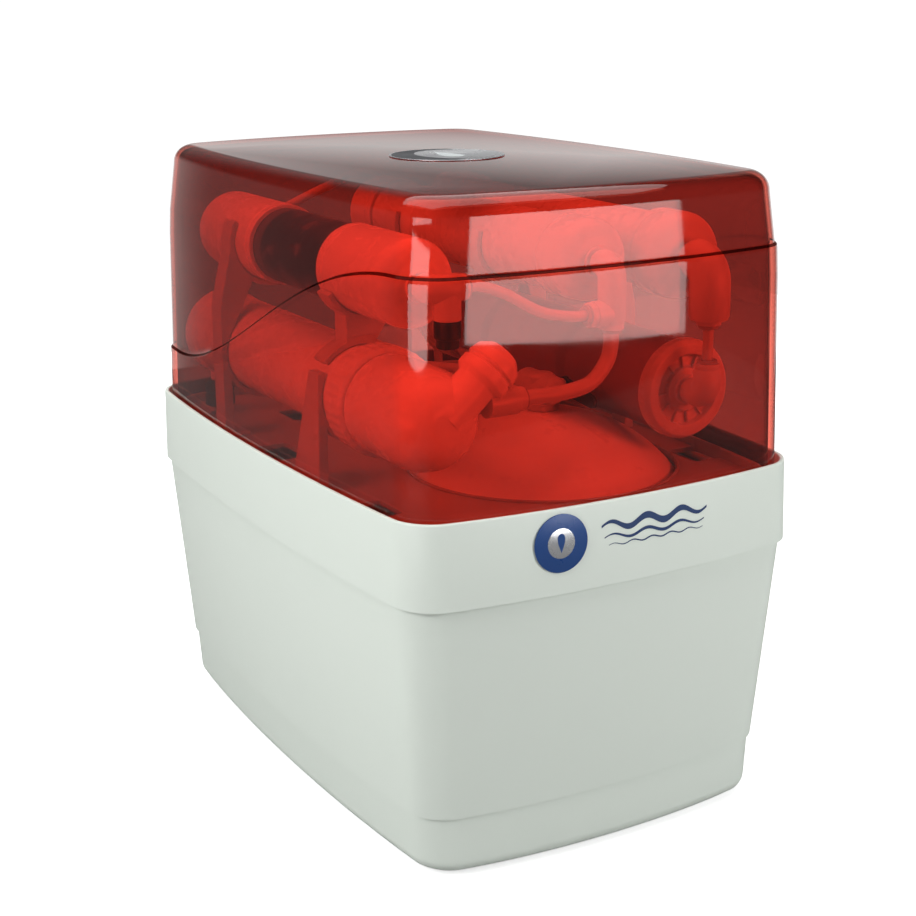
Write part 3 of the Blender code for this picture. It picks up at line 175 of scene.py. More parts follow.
def plastic(name, colour, roughness, variation, grain, bump, tint):
    """Moulded plastic: a fine grain, and slow drifts of gloss and shade."""
    made, tree, shader = new_material(name)
    shade = tuple(max(c - tint, 0.0) for c in colour)
    drift = mixed_colour(tree, noise(tree, 9.0, 4.0), colour, shade)
    feed(tree, shader.inputs["Base Color"], drift)
    patches = noise(tree, 38.0, 5.0, 0.65)
    gloss = spread(tree, patches, roughness - variation, roughness + variation)
    feed(tree, shader.inputs["Roughness"], gloss)
    add_bump(tree, shader, noise(tree, grain, 2.0), bump, GRAIN_DEPTH)
    feed(tree, shader.inputs["IOR"], PLASTIC_IOR)
    return made


# What one surface of the hood passes: a wall has two. The far wall reads darker than the near one: its
# darker tint is painted shade.
HOOD_NEAR_TINT = (0.990, 0.435, 0.365)
HOOD_FAR_SHADE_TINT = (0.44, 0.28, 0.28)
HOOD_SLANT_TINT = (0.10, 0.03, 0.03)
HOOD_SLANT_SHARE = 0.72
# The parting line's step: a darker tint and a dimmed mirror, painted shade of its groove.
HOOD_SEAM_SHADE_TINT = (0.16, 0.055, 0.05)
HOOD_SEAM_SHADE_GLOSS = (0.16, 0.09, 0.08)
# Near the grazing edges the hood's mirror turns dark red: painted shade on its rim.
HOOD_EDGE_SHADE_GLOSS = (0.20, 0.035, 0.03)
HOOD_EDGE_SPAN = (0.91, 0.955)
HOOD_GLOSS = (1.0, 0.96, 0.94)
HOOD_POLISH = (0.015, 0.045)
HOOD_FACING_MIRROR = 0.04
HOOD_GRAZING_POWER = 4.2
UPPER_LABEL = ((0.022, 0.016, 0.036), (0.045, 0.032, 0.060))
LOWER_LABEL = ((0.300, 0.170, 0.180), (0.360, 0.220, 0.220))
LABEL_PALE = (0.20, 0.15, 0.17)


def clear_hood_material(name, near_tint, sheen):
    """Clear red plastic: each surface tints what is behind it and mirrors more towards its edges, where
    the mirrored colour turns dark red as painted shade.
    """
    made = bpy.data.materials.new(name)
    made.use_nodes = True
    tree = made.node_tree
    tree.nodes.clear()
    facing = add_node(tree, "LayerWeight", {"Blend": 0.5}).outputs["Facing"]
    edge = spread(tree, facing, 0.0, 1.0, *HOOD_EDGE_SPAN)
    polish = spread(tree, noise(tree, 30.0, 4.0, 0.6), *HOOD_POLISH)
    mirrored_tint = mixed_colour(tree, edge, sheen, HOOD_EDGE_SHADE_GLOSS)
    gloss = add_node(tree, "BsdfGlossy", {"Color": mirrored_tint, "Roughness": polish})
    add_bump(tree, gloss, noise(tree, 7.0, 1.0), 0.04, 0.0003)
    path = add_node(tree, "LightPath", {}).outputs
    # Camera rays that have already passed the near wall take the far wall's darker tint: painted shade.
    deep = maths(tree, "GREATER_THAN", path["Transparent Depth"], 1.5)
    far = maths(tree, "MULTIPLY", deep, path["Is Camera Ray"])
    tint = mixed_colour(tree, far, near_tint, HOOD_FAR_SHADE_TINT)
    slant = maths(tree, "MULTIPLY", maths(tree, "POWER", facing, 3.0), HOOD_SLANT_SHARE)
    thick = mixed_colour(tree, slant, tint, HOOD_SLANT_TINT)
    clear = add_node(tree, "BsdfTransparent", {"Color": thick})
    grazing = maths(tree, "POWER", facing, HOOD_GRAZING_POWER)
    mirror = maths(tree, "MULTIPLY_ADD", grazing, 1.0 - HOOD_FACING_MIRROR, HOOD_FACING_MIRROR)
    inputs = {0: mirror, 1: clear.outputs["BSDF"], 2: gloss.outputs["BSDF"]}
    surface = add_node(tree, "MixShader", inputs).outputs["Shader"]
    add_node(tree, "OutputMaterial", {"Surface": surface})
    return made


def label_material(name, colours):
    """A dark printed film with a few paler bands and blotches, none of them lettering."""
    made, tree, shader = new_material(name)
    spot = add_node(tree, "TexCoord", {}).outputs["Object"]
    inputs = {"Vector": spot, "Scale": 3.2, "Distortion": 0.0}
    bands = add_node(tree, "TexWave", inputs, wave_type="BANDS", bands_direction="Y")
    pale_band = spread(tree, bands.outputs["Fac"], 0.0, 0.55, 0.955, 0.985)
    blotches = spread(tree, noise(tree, 60.0, 3.0), 0.0, 0.6, 0.60, 0.72)
    pale = maths(tree, "MAXIMUM", pale_band, blotches)
    film = mixed_colour(tree, noise(tree, 14.0), *colours)
    feed(tree, shader.inputs["Base Color"], mixed_colour(tree, pale, film, LABEL_PALE))
    feed(tree, shader.inputs["Roughness"], spread(tree, noise(tree, 45.0), 0.30, 0.48))
    add_bump(tree, shader, noise(tree, 220.0, 2.0), 0.15, 0.0001)
    return made


def metal(name, colour, roughness):
    made, tree, shader = new_material(name)
    slow = noise(tree, 40.0, 4.0)
    shade = tuple(c * 0.82 for c in colour)
    feed(tree, shader.inputs["Base Color"], mixed_colour(tree, slow, colour, shade))
    feed(tree, shader.inputs["Metallic"], 0.85)
    feed(tree, shader.inputs["Roughness"], spread(tree, slow, roughness, roughness + 0.12))
    add_bump(tree, shader, noise(tree, 900.0, 2.0), 0.1, 0.00005)
    return made


CASE = plastic("case_white", (0.785, 0.848, 0.778), 0.36, 0.05, 1500.0, 0.10, 0.012)
# The deck is darkened well below the case white: painted shade, as it lies under the filters.
DECK = plastic("deck_white_painted_shade", (0.44, 0.46, 0.43), 0.42, 0.05, 1500.0, 0.10, 0.012)
# Fittings, brackets and elbows: their white is dimmed, painted shade.
FITTING = plastic("fitting_white", (0.66, 0.65, 0.62), 0.34, 0.07, 900.0, 0.12, 0.03)
HOUSING = plastic("housing_white", (0.94, 0.93, 0.90), 0.26, 0.06, 700.0, 0.08, 0.03)
TANK = plastic("tank_white", (0.88, 0.87, 0.85), 0.30, 0.05, 500.0, 0.10, 0.02)
# A darker copy of the housing white for the right-hand filters: painted shade.
SHADED_HOUSING = plastic("housing_white_painted_shade", (0.72, 0.71, 0.69), 0.28, 0.06, 700.0, 0.08, 0.03)
# The tubes' white is dimmed: painted shade.
TUBE = plastic("tube_white", (0.60, 0.59, 0.57), 0.30, 0.05, 600.0, 0.05, 0.03)
COLLET = plastic("collet_grey", (0.42, 0.42, 0.43), 0.38, 0.06, 800.0, 0.10, 0.03)
BLACK = plastic("fitting_black", (0.020, 0.020, 0.022), 0.42, 0.08, 800.0, 0.15, 0.006)
RUBBER = plastic("foot_rubber", (0.030, 0.030, 0.030), 0.78, 0.08, 600.0, 0.35, 0.01)
DIAPHRAGM = plastic("diaphragm_rubber", (0.11, 0.11, 0.12), 0.72, 0.08, 600.0, 0.3, 0.02)
WRAP = plastic("membrane_wrap", (0.68, 0.70, 0.72), 0.5, 0.08, 300.0, 0.3, 0.08)
BLUE = plastic("badge_blue", (0.018, 0.065, 0.235), 0.30, 0.06, 900.0, 0.08, 0.008)
PRINT = plastic("printed_ink", (0.022, 0.050, 0.150), 0.42, 0.06, 900.0, 0.08, 0.01)
PALE = plastic("badge_pale", (0.62, 0.66, 0.66), 0.34, 0.06, 900.0, 0.08, 0.05)
SILVER = metal("badge_silver", (0.74, 0.75, 0.77), 0.22)
SHADE = metal("badge_shade", (0.075, 0.080, 0.095), 0.30)
DARK_LABEL = label_material("label_film_dark", UPPER_LABEL)
LABEL = label_material("label_film", LOWER_LABEL)
HOOD = clear_hood_material("hood_clear_red", HOOD_NEAR_TINT, HOOD_GLOSS)
HOOD_SEAM = clear_hood_material("hood_seam_painted_shade", HOOD_SEAM_SHADE_TINT, HOOD_SEAM_SHADE_GLOSS)

# ---- Building blocks ----


def new_object(name, data):
    obj = bpy.data.objects.new(name, data)
    bpy.context.scene.collection.objects.link(obj)
    return obj


def solid_mesh(name, points, faces):
    """A mesh whose faces all look outwards."""
    bm = bmesh.new()
    verts = [bm.verts.new(point) for point in points]
    for face in faces:
        bm.faces.new([verts[index] for index in face])
    bmesh.ops.recalc_face_normals(bm, faces=bm.faces)
    mesh = bpy.data.meshes.new(name)
    bm.to_mesh(mesh)
    bm.free()
    return mesh


def smoothed(mesh):
    mesh.shade_smooth()
    mesh.set_sharp_from_angle(angle=SMOOTH_ANGLE)
    return mesh


def add_piece(name, points, faces, material, body="case", replaced=(), slot=None):
    """A mesh piece that rides on a body and stands for the CAD nodes in replaced."""
    mesh = smoothed(solid_mesh(name, points, faces))
    mesh.materials.append(material)
    obj = new_object(name, mesh)
    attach(obj, body)
    if replaced:
        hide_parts(*replaced)
    return obj


def loft(rings, capped=True):
    """Points and faces of a skin through rings; uncapped, the last ring joins the first."""
    count = len(rings[0])
    points = [point for ring in rings for point in ring]
    faces = []
    for row in range(len(rings) - 1 if capped else len(rings)):
        low = row * count
        high = (row + 1) % len(rings) * count
        for k in range(count):
            after = (k + 1) % count
            faces.append((low + k, low + after, high + after, high + k))
    if capped:
        faces.append(tuple(range(count)))
        faces.append(tuple(range(len(points) - count, len(points))))
    return points, faces


def filleted(profile, radius, steps=4):
    """The profile with its inner corners rounded: each becomes an arc-like curve."""
    done = [Vector(profile[0])]
    for before, here, after in zip(profile, profile[1:], profile[2:]):
        before, here, after = Vector(before), Vector(here), Vector(after)
        back, ahead = before - here, after - here
        reach = min(radius, back.length * 0.45, ahead.length * 0.45)
        if reach < 1e-6:
            done.append(here)
            continue
        start = here + reach * back.normalized()
        end = here + reach * ahead.normalized()
        for step in range(steps + 1):
            t = step / steps
            done.append((1 - t) ** 2 * start + 2 * t * (1 - t) * here + t * t * end)
    done.append(Vector(profile[-1]))
    return [tuple(point) for point in done]


def closed(section, radius, steps=4):
    """The same for a closed section, whose last point joins its first."""
    return filleted([*section, section[0]], radius, steps)[:-1]


def quarter_turn(steps):
    """Sines and cosines of even steps through a right angle."""
    angles = [math.pi / 2 * step / steps for step in range(steps + 1)]
    return [(math.sin(angle), math.cos(angle)) for angle in angles]


def ring_about(centre, u, v, radius, sides):
    steps = [2 * math.pi * k / sides for k in range(sides)]
    return [Vector(centre) + radius * (math.cos(a) * u + math.sin(a) * v) for a in steps]


def turned_rings(start, direction, profile, sides, waves=0, depth=0.0):
    """Rings of a body of revolution; waves and depth give it grip ribs."""
    along = Vector(direction).normalized()
    u = along.orthogonal().normalized()
    v = along.cross(u)
    rings = []
    for t, radius in profile:
        ring = []
        for k in range(sides):
            angle = 2 * math.pi * k / sides
            ripple = depth * (math.cos(waves * angle) - 1) / 2 if waves else 0.0
            r = radius + ripple
            ring.append(Vector(start) + t * along + r * (math.cos(angle) * u + math.sin(angle) * v))
        rings.append(ring)
    return rings


def turned(name, start, direction, profile, material, round_by=0.0008, sides=TURNED_SIDES, **kept):
    """A body of revolution with its edges rounded: profile holds (distance, radius)."""
    profile = filleted(profile, round_by)
    rings = turned_rings(start, direction, profile, sides)
    return add_piece(name, *loft(rings), material, **kept)


def sleeve(name, start, way, profile, material, round_by, sides=TURNED_SIDES, ribs=(0, 0), **kept):
    """The same for a closed profile, which makes a ring: ribs holds (count, depth)."""
    rings = turned_rings(start, way, closed(profile, round_by), sides, *ribs)
    return add_piece(name, *loft(rings, capped=False), material, **kept)


def smooth_route(knots, per_span):
    """Points of a Catmull-Rom curve through all the knots but the first and the last."""
    padded = [Vector(knot) for knot in knots]
    route = []
    for a, b, c, d in zip(padded, padded[1:], padded[2:], padded[3:]):
        for step in range(per_span):
            t = step / per_span
            cubic = (2 * a - 5 * b + 4 * c - d) * t * t + (3 * b - a - 3 * c + d) * t**3
            route.append(0.5 * (2 * b + (c - a) * t + cubic))
    route.append(padded[-2])
    return route


def swept_mesh(route, radii, sides):
    route = [Vector(point) for point in route]
    u = None
    rings = []
    for k, (point, radius) in enumerate(zip(route, radii)):
        before = route[max(k - 1, 0)]
        after = route[min(k + 1, len(route) - 1)]
        tangent = (after - before).normalized()
        u = tangent.orthogonal() if u is None else u
        u = (u - u.dot(tangent) * tangent).normalized()
        rings.append(ring_about(point, u, tangent.cross(u), radius, sides))
    return loft(rings)


def joined_meshes(meshes):
    points = []
    faces = []
    for some_points, some_faces in meshes:
        faces += [tuple(len(points) + index for index in face) for face in some_faces]
        points += some_points
    return points, faces


def bevelled(obj, width, segments=3, angle=30):
    modifier = obj.modifiers.new("Edges", "BEVEL")
    modifier.width = width
    modifier.segments = segments
    modifier.limit_method = "ANGLE"
    modifier.angle_limit = math.radians(angle)
    modifier.harden_normals = False
    return obj


def cut(obj, points, faces):
    """Cuts a mesh out of obj for good."""
    cutter = new_object("cutter", solid_mesh("cutter", points, faces))
    modifier = obj.modifiers.new("Cut", "BOOLEAN")
    modifier.operation = "DIFFERENCE"
    modifier.solver = "EXACT"
    modifier.object = cutter
    graph = bpy.context.evaluated_depsgraph_get()
    mesh = bpy.data.meshes.new_from_object(obj.evaluated_get(graph))
    obj.modifiers.clear()
    obj.data = smoothed(mesh)
    bpy.data.objects.remove(cutter)
    return obj


# ---- The case ----


def perimeter_stations():
    """Places round the case as (corner-centre shares, unit normal), anticlockwise from +X."""
    signs = ((1, 1), (-1, 1), (-1, -1), (1, -1))
    stations = []
    for quarter, here in enumerate(signs):
        for step in range(CORNER_STEPS + 1):
            angle = math.pi / 2 * (quarter + step / CORNER_STEPS)
            stations.append((here, (math.cos(angle), math.sin(angle))))
        there = signs[(quarter + 1) % 4]
        for step in range(1, SIDE_STEPS):
            share = step / SIDE_STEPS
            along = tuple(h + share * (t - h) for h, t in zip(here, there))
            stations.append((along, stations[-1][1]))
    return stations


STATIONS = perimeter_stations()


def case_point(station, half, z, inset=0.0):
    """A point of the case's outline, whose sides bow outwards between the corners."""
    (share_x, share_y), (normal_x, normal_y) = station
    half_x = half[0] - inset
    half_y = half[1] - inset
    radius = max(CORNER_RADIUS - inset, 0.004)
    x = share_x * (half_x - radius) + normal_x * radius
    y = share_y * (half_y - radius) + normal_y * radius
    bowed_x = x - math.copysign(BOW_X * (y / half_y) ** 2 * abs(x / half_x) ** 3, x)
    bowed_y = y - math.copysign(BOW_Y * (x / half_x) ** 2 * abs(y / half_y) ** 3, y)
    return Vector((bowed_x, bowed_y, z))


def case_ring(half, z, inset=0.0):
    return [case_point(station, half, z, inset) for station in STATIONS]


def between(low, high, share):
    return tuple(a + share * (b - a) for a, b in zip(low, high))


def band_half(z):
    return between(BAND_LOW_HALF, BAND_TOP_HALF, (z - BAND_BOTTOM) / (BAND_TOP - BAND_BOTTOM))


def cabinet_half(z):
    share = (z - PLINTH_TOP) / (BAND_BOTTOM - PLINTH_TOP)
    return between(CABINET_LOW_HALF, CABINET_TOP_HALF, share)


def plinth_half(z):
    return between(PLINTH_LOW_HALF, PLINTH_TOP_HALF, z / PLINTH_TOP)


def hood_half(z):
    if z < HOOD_SHOULDER:
        share = (z - LEDGE_TOP) / (HOOD_SHOULDER - LEDGE_TOP)
        return between(HOOD_LOW_HALF, HOOD_SHOULDER_HALF, share)
    share = (z - HOOD_SHOULDER) / (CASE_TOP - HOOD_SHOULDER)
    return between(HOOD_SHOULDER_HALF, HOOD_TOP_HALF, share)


def hood_line_height(y):
    share = (y - HOOD_LINE_START_Y) / (HOOD_LINE_END_Y - HOOD_LINE_START_Y)
    share = min(max(share, 0.0), 1.0)
    ease = share * share * (3 - 2 * share)
    return HOOD_LINE_FRONT + ease * (HOOD_LINE_REAR - HOOD_LINE_FRONT)


def walled(name, section, half_at, material, round_by, **kept):
    """A wall round the case from a closed section of (z, inset) points, with rounded edges."""
    section = closed(section, round_by)
    rings = [case_ring(half_at(z), z, inset) for z, inset in section]
    return add_piece(name, *loft(rings, capped=False), material, **kept)


def build_base_pan():
    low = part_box("base_pan")[0].z
    lip_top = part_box("base_pan")[1].z
    floor = low + WALL
    inner = WALL + 0.0015
    gap_line = PLINTH_TOP - PLAY
    outer = [(gap_line, LIP), (gap_line, 0.0), (gap_line - 0.0006, 0.0)]
    for sine, cosine in quarter_turn(10):
        outer.append((low + PLINTH_EDGE * (1 - sine), PLINTH_EDGE * (1 - cosine)))
    section = [(floor, PLINTH_EDGE), (floor + 0.006, inner), (lip_top, inner), (lip_top, LIP)]
    section = filleted(section + outer, 0.0005, 2)
    rings = [case_ring(plinth_half(min(z, PLINTH_TOP)), z, inset) for z, inset in section]
    add_piece("plinth", *loft(rings), CASE, replaced=["base_pan"], slot="case_white")


def build_cabinet():
    neck_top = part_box("lower_cabinet")[1].z
    shoulder = BAND_BOTTOM - PLAY
    section = (
        (PLINTH_TOP, 0.0), (shoulder, 0.0), (shoulder, 0.0020), (neck_top, 0.0020), (neck_top, 0.0040),
        (shoulder, 0.0040), (PLINTH_TOP, WALL),
    )
    walled(
        "cabinet_walls", section, lambda z: cabinet_half(min(z, BAND_BOTTOM)), CASE, 0.0007,
        replaced=["lower_cabinet"], slot="case_white",
    )


def build_band():
    ledge_low = LEDGE_TOP - 0.004
    section = (
        (BAND_BOTTOM, 0.0), (BAND_TOP, 0.0), (BAND_TOP, LIP), (LEDGE_TOP, LIP + 0.0002),
        (LEDGE_TOP, LEDGE_WIDTH), (ledge_low, LEDGE_WIDTH), (ledge_low, LIP), (BAND_BOTTOM, LIP),
    )
    walled("raised_band", section, band_half, CASE, 0.0011, replaced=["trim_band"], slot="case_white")


def hood_rings(inset, heights):
    """Rings of one skin of the hood: heights holds (kind, value), kind being "low", "line" or "up"."""
    arc_start = CASE_TOP - HOOD_EDGE
    rings = []
    for kind, value in heights:
        ring = []
        for station in STATIONS:
            line = hood_line_height(case_point(station, HOOD_SHOULDER_HALF, 0.0).y)
            low = LEDGE_TOP + PLAY
            if kind == "low":
                z, extra = low + value * (line - HOOD_SEAM_HALF - low), -HOOD_STEP
            elif kind == "line":
                z, extra = line + value * HOOD_SEAM_HALF, -HOOD_STEP * (0.5 - value / 2)
            else:
                rise = arc_start - line - HOOD_SEAM_HALF
                z, extra = line + HOOD_SEAM_HALF + value * rise, 0.0
            extra = extra if inset == 0.0 else 0.0
            ring.append(case_point(station, hood_half(z), z, inset + extra))
        rings.append(ring)
    return rings


def build_hood():
    arc_start = CASE_TOP - HOOD_EDGE
    inner_top = CASE_TOP - HOOD_WALL
    shares = [step / 8 for step in range(9)]
    # An extra ring on each side of the parting line keeps the skin flat up to it.
    low_shares = [*shares[:-1], 0.985, 1.0]
    up_shares = [0.03, *shares[1:]]
    outer = hood_rings(0.0, [("low", s) for s in low_shares])
    outer += hood_rings(0.0, [("line", s) for s in HOOD_SEAM_SHARES])
    outer += hood_rings(0.0, [("up", s) for s in up_shares])
    top_half = hood_half(arc_start)
    for sine, cosine in quarter_turn(12)[1:]:
        outer.append(case_ring(top_half, arc_start + HOOD_EDGE * sine, HOOD_EDGE * (1 - cosine)))
    inner = hood_rings(HOOD_WALL, [("low", s) for s in shares])
    inner += hood_rings(HOOD_WALL, [("up", s) for s in shares[1:]])
    inner_edge = HOOD_EDGE - HOOD_WALL
    for sine, cosine in quarter_turn(8)[1:]:
        z = arc_start + (inner_top - arc_start) * sine
        inner.append(case_ring(top_half, z, HOOD_WALL + inner_edge * (1 - cosine)))
    rings = [*reversed(inner), *outer]
    hood = add_piece("clear_hood", *loft(rings), HOOD, "hood_cover", ["hood"], "hood_red")
    # The step faces along the parting line take the darker seam material: painted shade.
    hood.data.materials.append(HOOD_SEAM)
    first = (len(inner) + len(low_shares) - 1) * len(STATIONS)
    for face in hood.data.polygons[first : first + len(HOOD_SEAM_SHARES) * len(STATIONS)]:
        face.material_index = 1


DECK_SLOTS = (
    (0.11925, -0.1150, 0.01075, 0.0155), (-0.1165, -0.1150, 0.0125, 0.0155),
    (0.1165, 0.0400, 0.0110, 0.0170), (-0.1100, 0.0300, 0.0110, 0.0190), (0.0450, 0.1150, 0.0240, 0.0150),
    (-0.0450, 0.1150, 0.0240, 0.0150),
)
DECK_TUBE_HOLES = ((0.026, 0.166), (0.0845, 0.168), (-0.105, 0.150))
DECK_TUBE_HOLE = 0.0075
TANK_HOLE = 0.0858


def upright(node):
    """Axis point, bottom, top and radius of a CAD node that is round about a vertical line."""
    low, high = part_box(node)
    return (low.x + high.x) / 2, (low.y + high.y) / 2, low.z, high.z, (high.x - low.x) / 2


def tank_axis():
    return upright("tank_upper_shell")[:2]


def rounded_slot(x, y, half_x, half_y, low, high):
    """Points and faces of an upright cutter with rounded corners."""
    corner = 0.0025
    outline = []
    for quarter, (sign_x, sign_y) in enumerate(((1, 1), (-1, 1), (-1, -1), (1, -1))):
        for step in range(5):
            angle = math.pi / 2 * (quarter + step / 4)
            outline.append(
                (
                    x + sign_x * (half_x - corner) + corner * math.cos(angle),
                    y + sign_y * (half_y - corner) + corner * math.sin(angle),
                )
            )
    return loft([[Vector((px, py, z)) for px, py in outline] for z in (low, high)])


def build_deck():
    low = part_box("filter_deck")[0].z
    rim_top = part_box("filter_deck")[1].z
    top = low + 0.003
    rim = 0.0028
    section = filleted(((low, 0.0), (rim_top, 0.0), (rim_top, rim), (top, rim)), 0.0008, 3)
    rings = [case_ring(DECK_HALF, z, inset) for z, inset in section]
    deck = add_piece("deck", *loft(rings), DECK, replaced=["filter_deck"], slot="case_white")
    bottom, above = low - 0.004, rim_top + 0.01
    meshes = [rounded_slot(*spot, bottom, above) for spot in DECK_SLOTS]
    holes = [(*tank_axis(), TANK_HOLE, 96)]
    holes += [(x, y, DECK_TUBE_HOLE, 32) for x, y in DECK_TUBE_HOLES]
    for x, y, radius, sides in holes:
        ends = ((x, y, bottom), (x, y, above))
        meshes.append(loft([ring_about(end, RIGHTWARDS, REARWARDS, radius, sides) for end in ends]))
    cut(deck, *joined_meshes(meshes))
    bevelled(deck, 0.0006, 2, 50)
    turned_collar = (
        (0.0, TANK_HOLE + 0.0002), (0.0, TANK_HOLE + 0.0022), (0.0016, TANK_HOLE + 0.0018),
        (0.0016, TANK_HOLE + 0.0002),
    )
    sleeve("deck_collar", (*tank_axis(), top), UP, turned_collar, DECK, 0.0005)


def build_feet():
    for row in ("front", "rear"):
        for column in ("left", "right"):
            node = f"foot_{row}_{column}"
            x, y, low, high, radius = upright(node)
            profile = ((0.0, radius - 0.0025), (0.0, radius - 0.0006), (high - low, radius))
            kept = {"replaced": [node], "slot": "foot_rubber"}
            turned(node + "_pad", (x, y, low), UP, profile, RUBBER, 0.0004, **kept)


# ---- The badges ----


def band_frame(x, z, lift):
    """A frame on the band's front face: its origin, and the ways across and outwards."""
    half_x, half_y = band_half(z)
    lean = (BAND_LOW_HALF[1] - BAND_TOP_HALF[1]) / (BAND_TOP - BAND_BOTTOM)
    outward = Vector((2 * BOW_Y * x / half_x**2, -1, lean)).normalized()
    y = -(half_y - BOW_Y * (x / half_x) ** 2)
    across = (Vector((1, 0, 0)) - outward * outward.x).normalized()
    return Vector((x, y, z)) + lift * outward, across, outward


def on_band(u, v, centre_x, centre_z, lift):
    """The point of the band's front face at (u, v) from a centre, lifted off it."""
    origin, _, _ = band_frame(centre_x + u, centre_z + v, lift)
    return origin


def drop_outline(width, height, steps=28):
    """The outline of a plain water drop, as (u, v) about its middle."""
    points = []
    for k in range(steps):
        t = 2 * math.pi * k / steps
        u = width / 2 * math.sin(t) * math.sin(t / 2) ** 1.5
        v = height / 2 * math.cos(t)
        points.append((u, v))
    return points


def decal(name, outline, to_point, thickness, material, body, **kept):
    """A thin plate with the outline (u, v), laid on a surface by to_point(u, v, lift)."""
    rings = [[to_point(u, v, lift) for u, v in outline] for lift in (0.0, thickness)]
    return add_piece(name, *loft(rings), material, body, **kept)


def badge_spot():
    """The middle of the front badge, as x and z, and its radius."""
    low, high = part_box("front_badge")
    return FRONT_BADGE_X, FRONT_BADGE_Z, (high.z - low.z) / 2


def build_front_badge():
    x, z, radius = badge_spot()
    start, across, outward = band_frame(x, z, PLAY)
    upward = outward.cross(across) * -1
    profile = ((0.0, radius), (0.0004, radius), (0.0005, radius - 0.0003))
    turned(
        "badge_disc", start, outward, profile, BLUE, 0.0001, replaced=["front_badge"], slot="badge_blue"
    )
    inner = ((0.0005, 0.0088), (0.00056, 0.0086))
    turned("badge_centre", start, outward, inner, SILVER, 0.0, slot="badge_silver")

    def to_point(u, v, lift):
        return start + (0.00057 + lift) * outward + u * across + v * upward

    decal("badge_drop", drop_outline(0.0070, 0.0116), to_point, 0.00003, BLUE, "case", slot="badge_blue")


def wave_outline(length, amplitude, width, waves):
    """The outline of one wavy stroke, thinner at both ends."""
    steps = 60
    upper, lower = [], []
    for k in range(steps + 1):
        share = k / steps
        u = (share - 0.5) * length
        v = amplitude * math.sin(2 * math.pi * waves * share)
        half = width / 2 * math.sin(math.pi * min(max(share, 0.04), 0.96)) ** 0.5
        upper.append((u, v + half))
        lower.append((u, v - half))
    return upper + lower[::-1]


# Each stroke: middle along X, rise above the badge's middle, length, swing, width, waves.
WAVE_STROKES = (
    (0.0195, 0.0052, 0.0760, 0.0024, 0.0042, 3.0), (0.0195, -0.0016, 0.0720, 0.0016, 0.0020, 3.0),
    (0.0205, -0.0064, 0.0680, 0.0008, 0.0009, 5.0),
)


def build_front_waves():
    """Three plain wavy strokes to the right of the badge."""
    _, z, _ = badge_spot()
    for number, (x, rise, length, amplitude, width, waves) in enumerate(WAVE_STROKES):

        def to_point(u, v, lift, x=x, rise=rise):
            return on_band(u, v + rise, x, z, 0.00012 + lift)

        outline = wave_outline(length, amplitude, width, waves)
        decal(f"wave_stroke_{number}", outline, to_point, 0.00006, PRINT, "case")


def build_top_badge():
    x, y, z, _, radius = upright("top_badge")
    profile = ((0.0, radius), (0.0004, radius), (0.00048, radius - 0.0006))
    turned(
        "top_medallion", (x, y, z), UP, profile, SILVER, 0.0002, body="hood_cover",
        replaced=["top_badge"], slot="badge_silver",
    )

    def to_point(u, v, lift):
        return Vector((x + u, y + v, z + 0.00049 + lift))

    crescent = []
    reach = 0.96 * radius
    for k in range(41):
        angle = math.radians(60 + 190 * k / 40)
        crescent.append((reach * math.cos(angle), reach * math.sin(angle)))
    for k in range(41):
        angle = math.radians(250 - 190 * k / 40)
        across = reach * math.cos(angle) * 0.72 + 0.006
        crescent.append((across, reach * math.sin(angle) * 0.86 - 0.001))
    decal("top_crescent", crescent, to_point, 0.00004, SHADE, "hood_cover")
    decal("top_drop", drop_outline(0.020, 0.034), to_point, 0.00006, PALE, "hood_cover")


# ---- Vessels ----


def vessel(node):
    """Axis point, ends and radius of a CAD node that is round about a line parallel to Y."""
    low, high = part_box(node)
    return (low.x + high.x) / 2, (low.z + high.z) / 2, low.y, high.y, (high.x - low.x) / 2


def shoulder(start, end, radius, end_radius, steps=8):
    """Profile points of a quarter ellipse from one radius down to another."""
    reach, drop = end - start, radius - end_radius
    return [(start + reach * s, end_radius + drop * c) for s, c in quarter_turn(steps)[1:]]


def port_rings(end, sign):
    """The stepped boss round a port, whose face is at end."""
    return [
        (end - 0.002 * sign, PORT_RADIUS + 0.0026), (end - 0.002 * sign, PORT_RADIUS), (end, PORT_RADIUS),
        (end, PORT_BORE),
    ]


def shell_of(node):
    """The filters on the right take a darker copy of the housing white: painted shade."""
    return HOUSING if "left" in node else SHADED_HOUSING


def about_own_axis(maker, name, node, profile, material, round_by, slot="fitting_white"):
    """A turned part or a sleeve in the place of a CAD node, about that node's own axis."""
    x, z, _, _, _ = vessel(node)
    maker(name, (x, 0, z), REARWARDS, profile, material, round_by, replaced=[node], slot=slot)


def build_body(node):
    _, _, low, high, radius = vessel(node)
    profile = ((low, radius - 0.001), (low, radius), (high, radius), (high, radius - 0.001))
    name = node.replace("_body", "_tube")
    about_own_axis(turned, name, node, profile, shell_of(node), 0.0004)


def build_label(node, film):
    _, _, low, high, radius = vessel(node)
    inner = radius - 0.0005
    profile = ((low, inner), (low, radius), (high, radius), (high, inner))
    about_own_axis(sleeve, node + "_film", node, profile, film, 0.0001, "label_dark")


CAP_STRAIGHT = 0.016
CAP_GROOVE = 0.0007
# How far before its port a rear (1) or front (-1) cap starts to round over.
CAP_ROUNDS_AT = {1: 0.016, -1: 0.014}


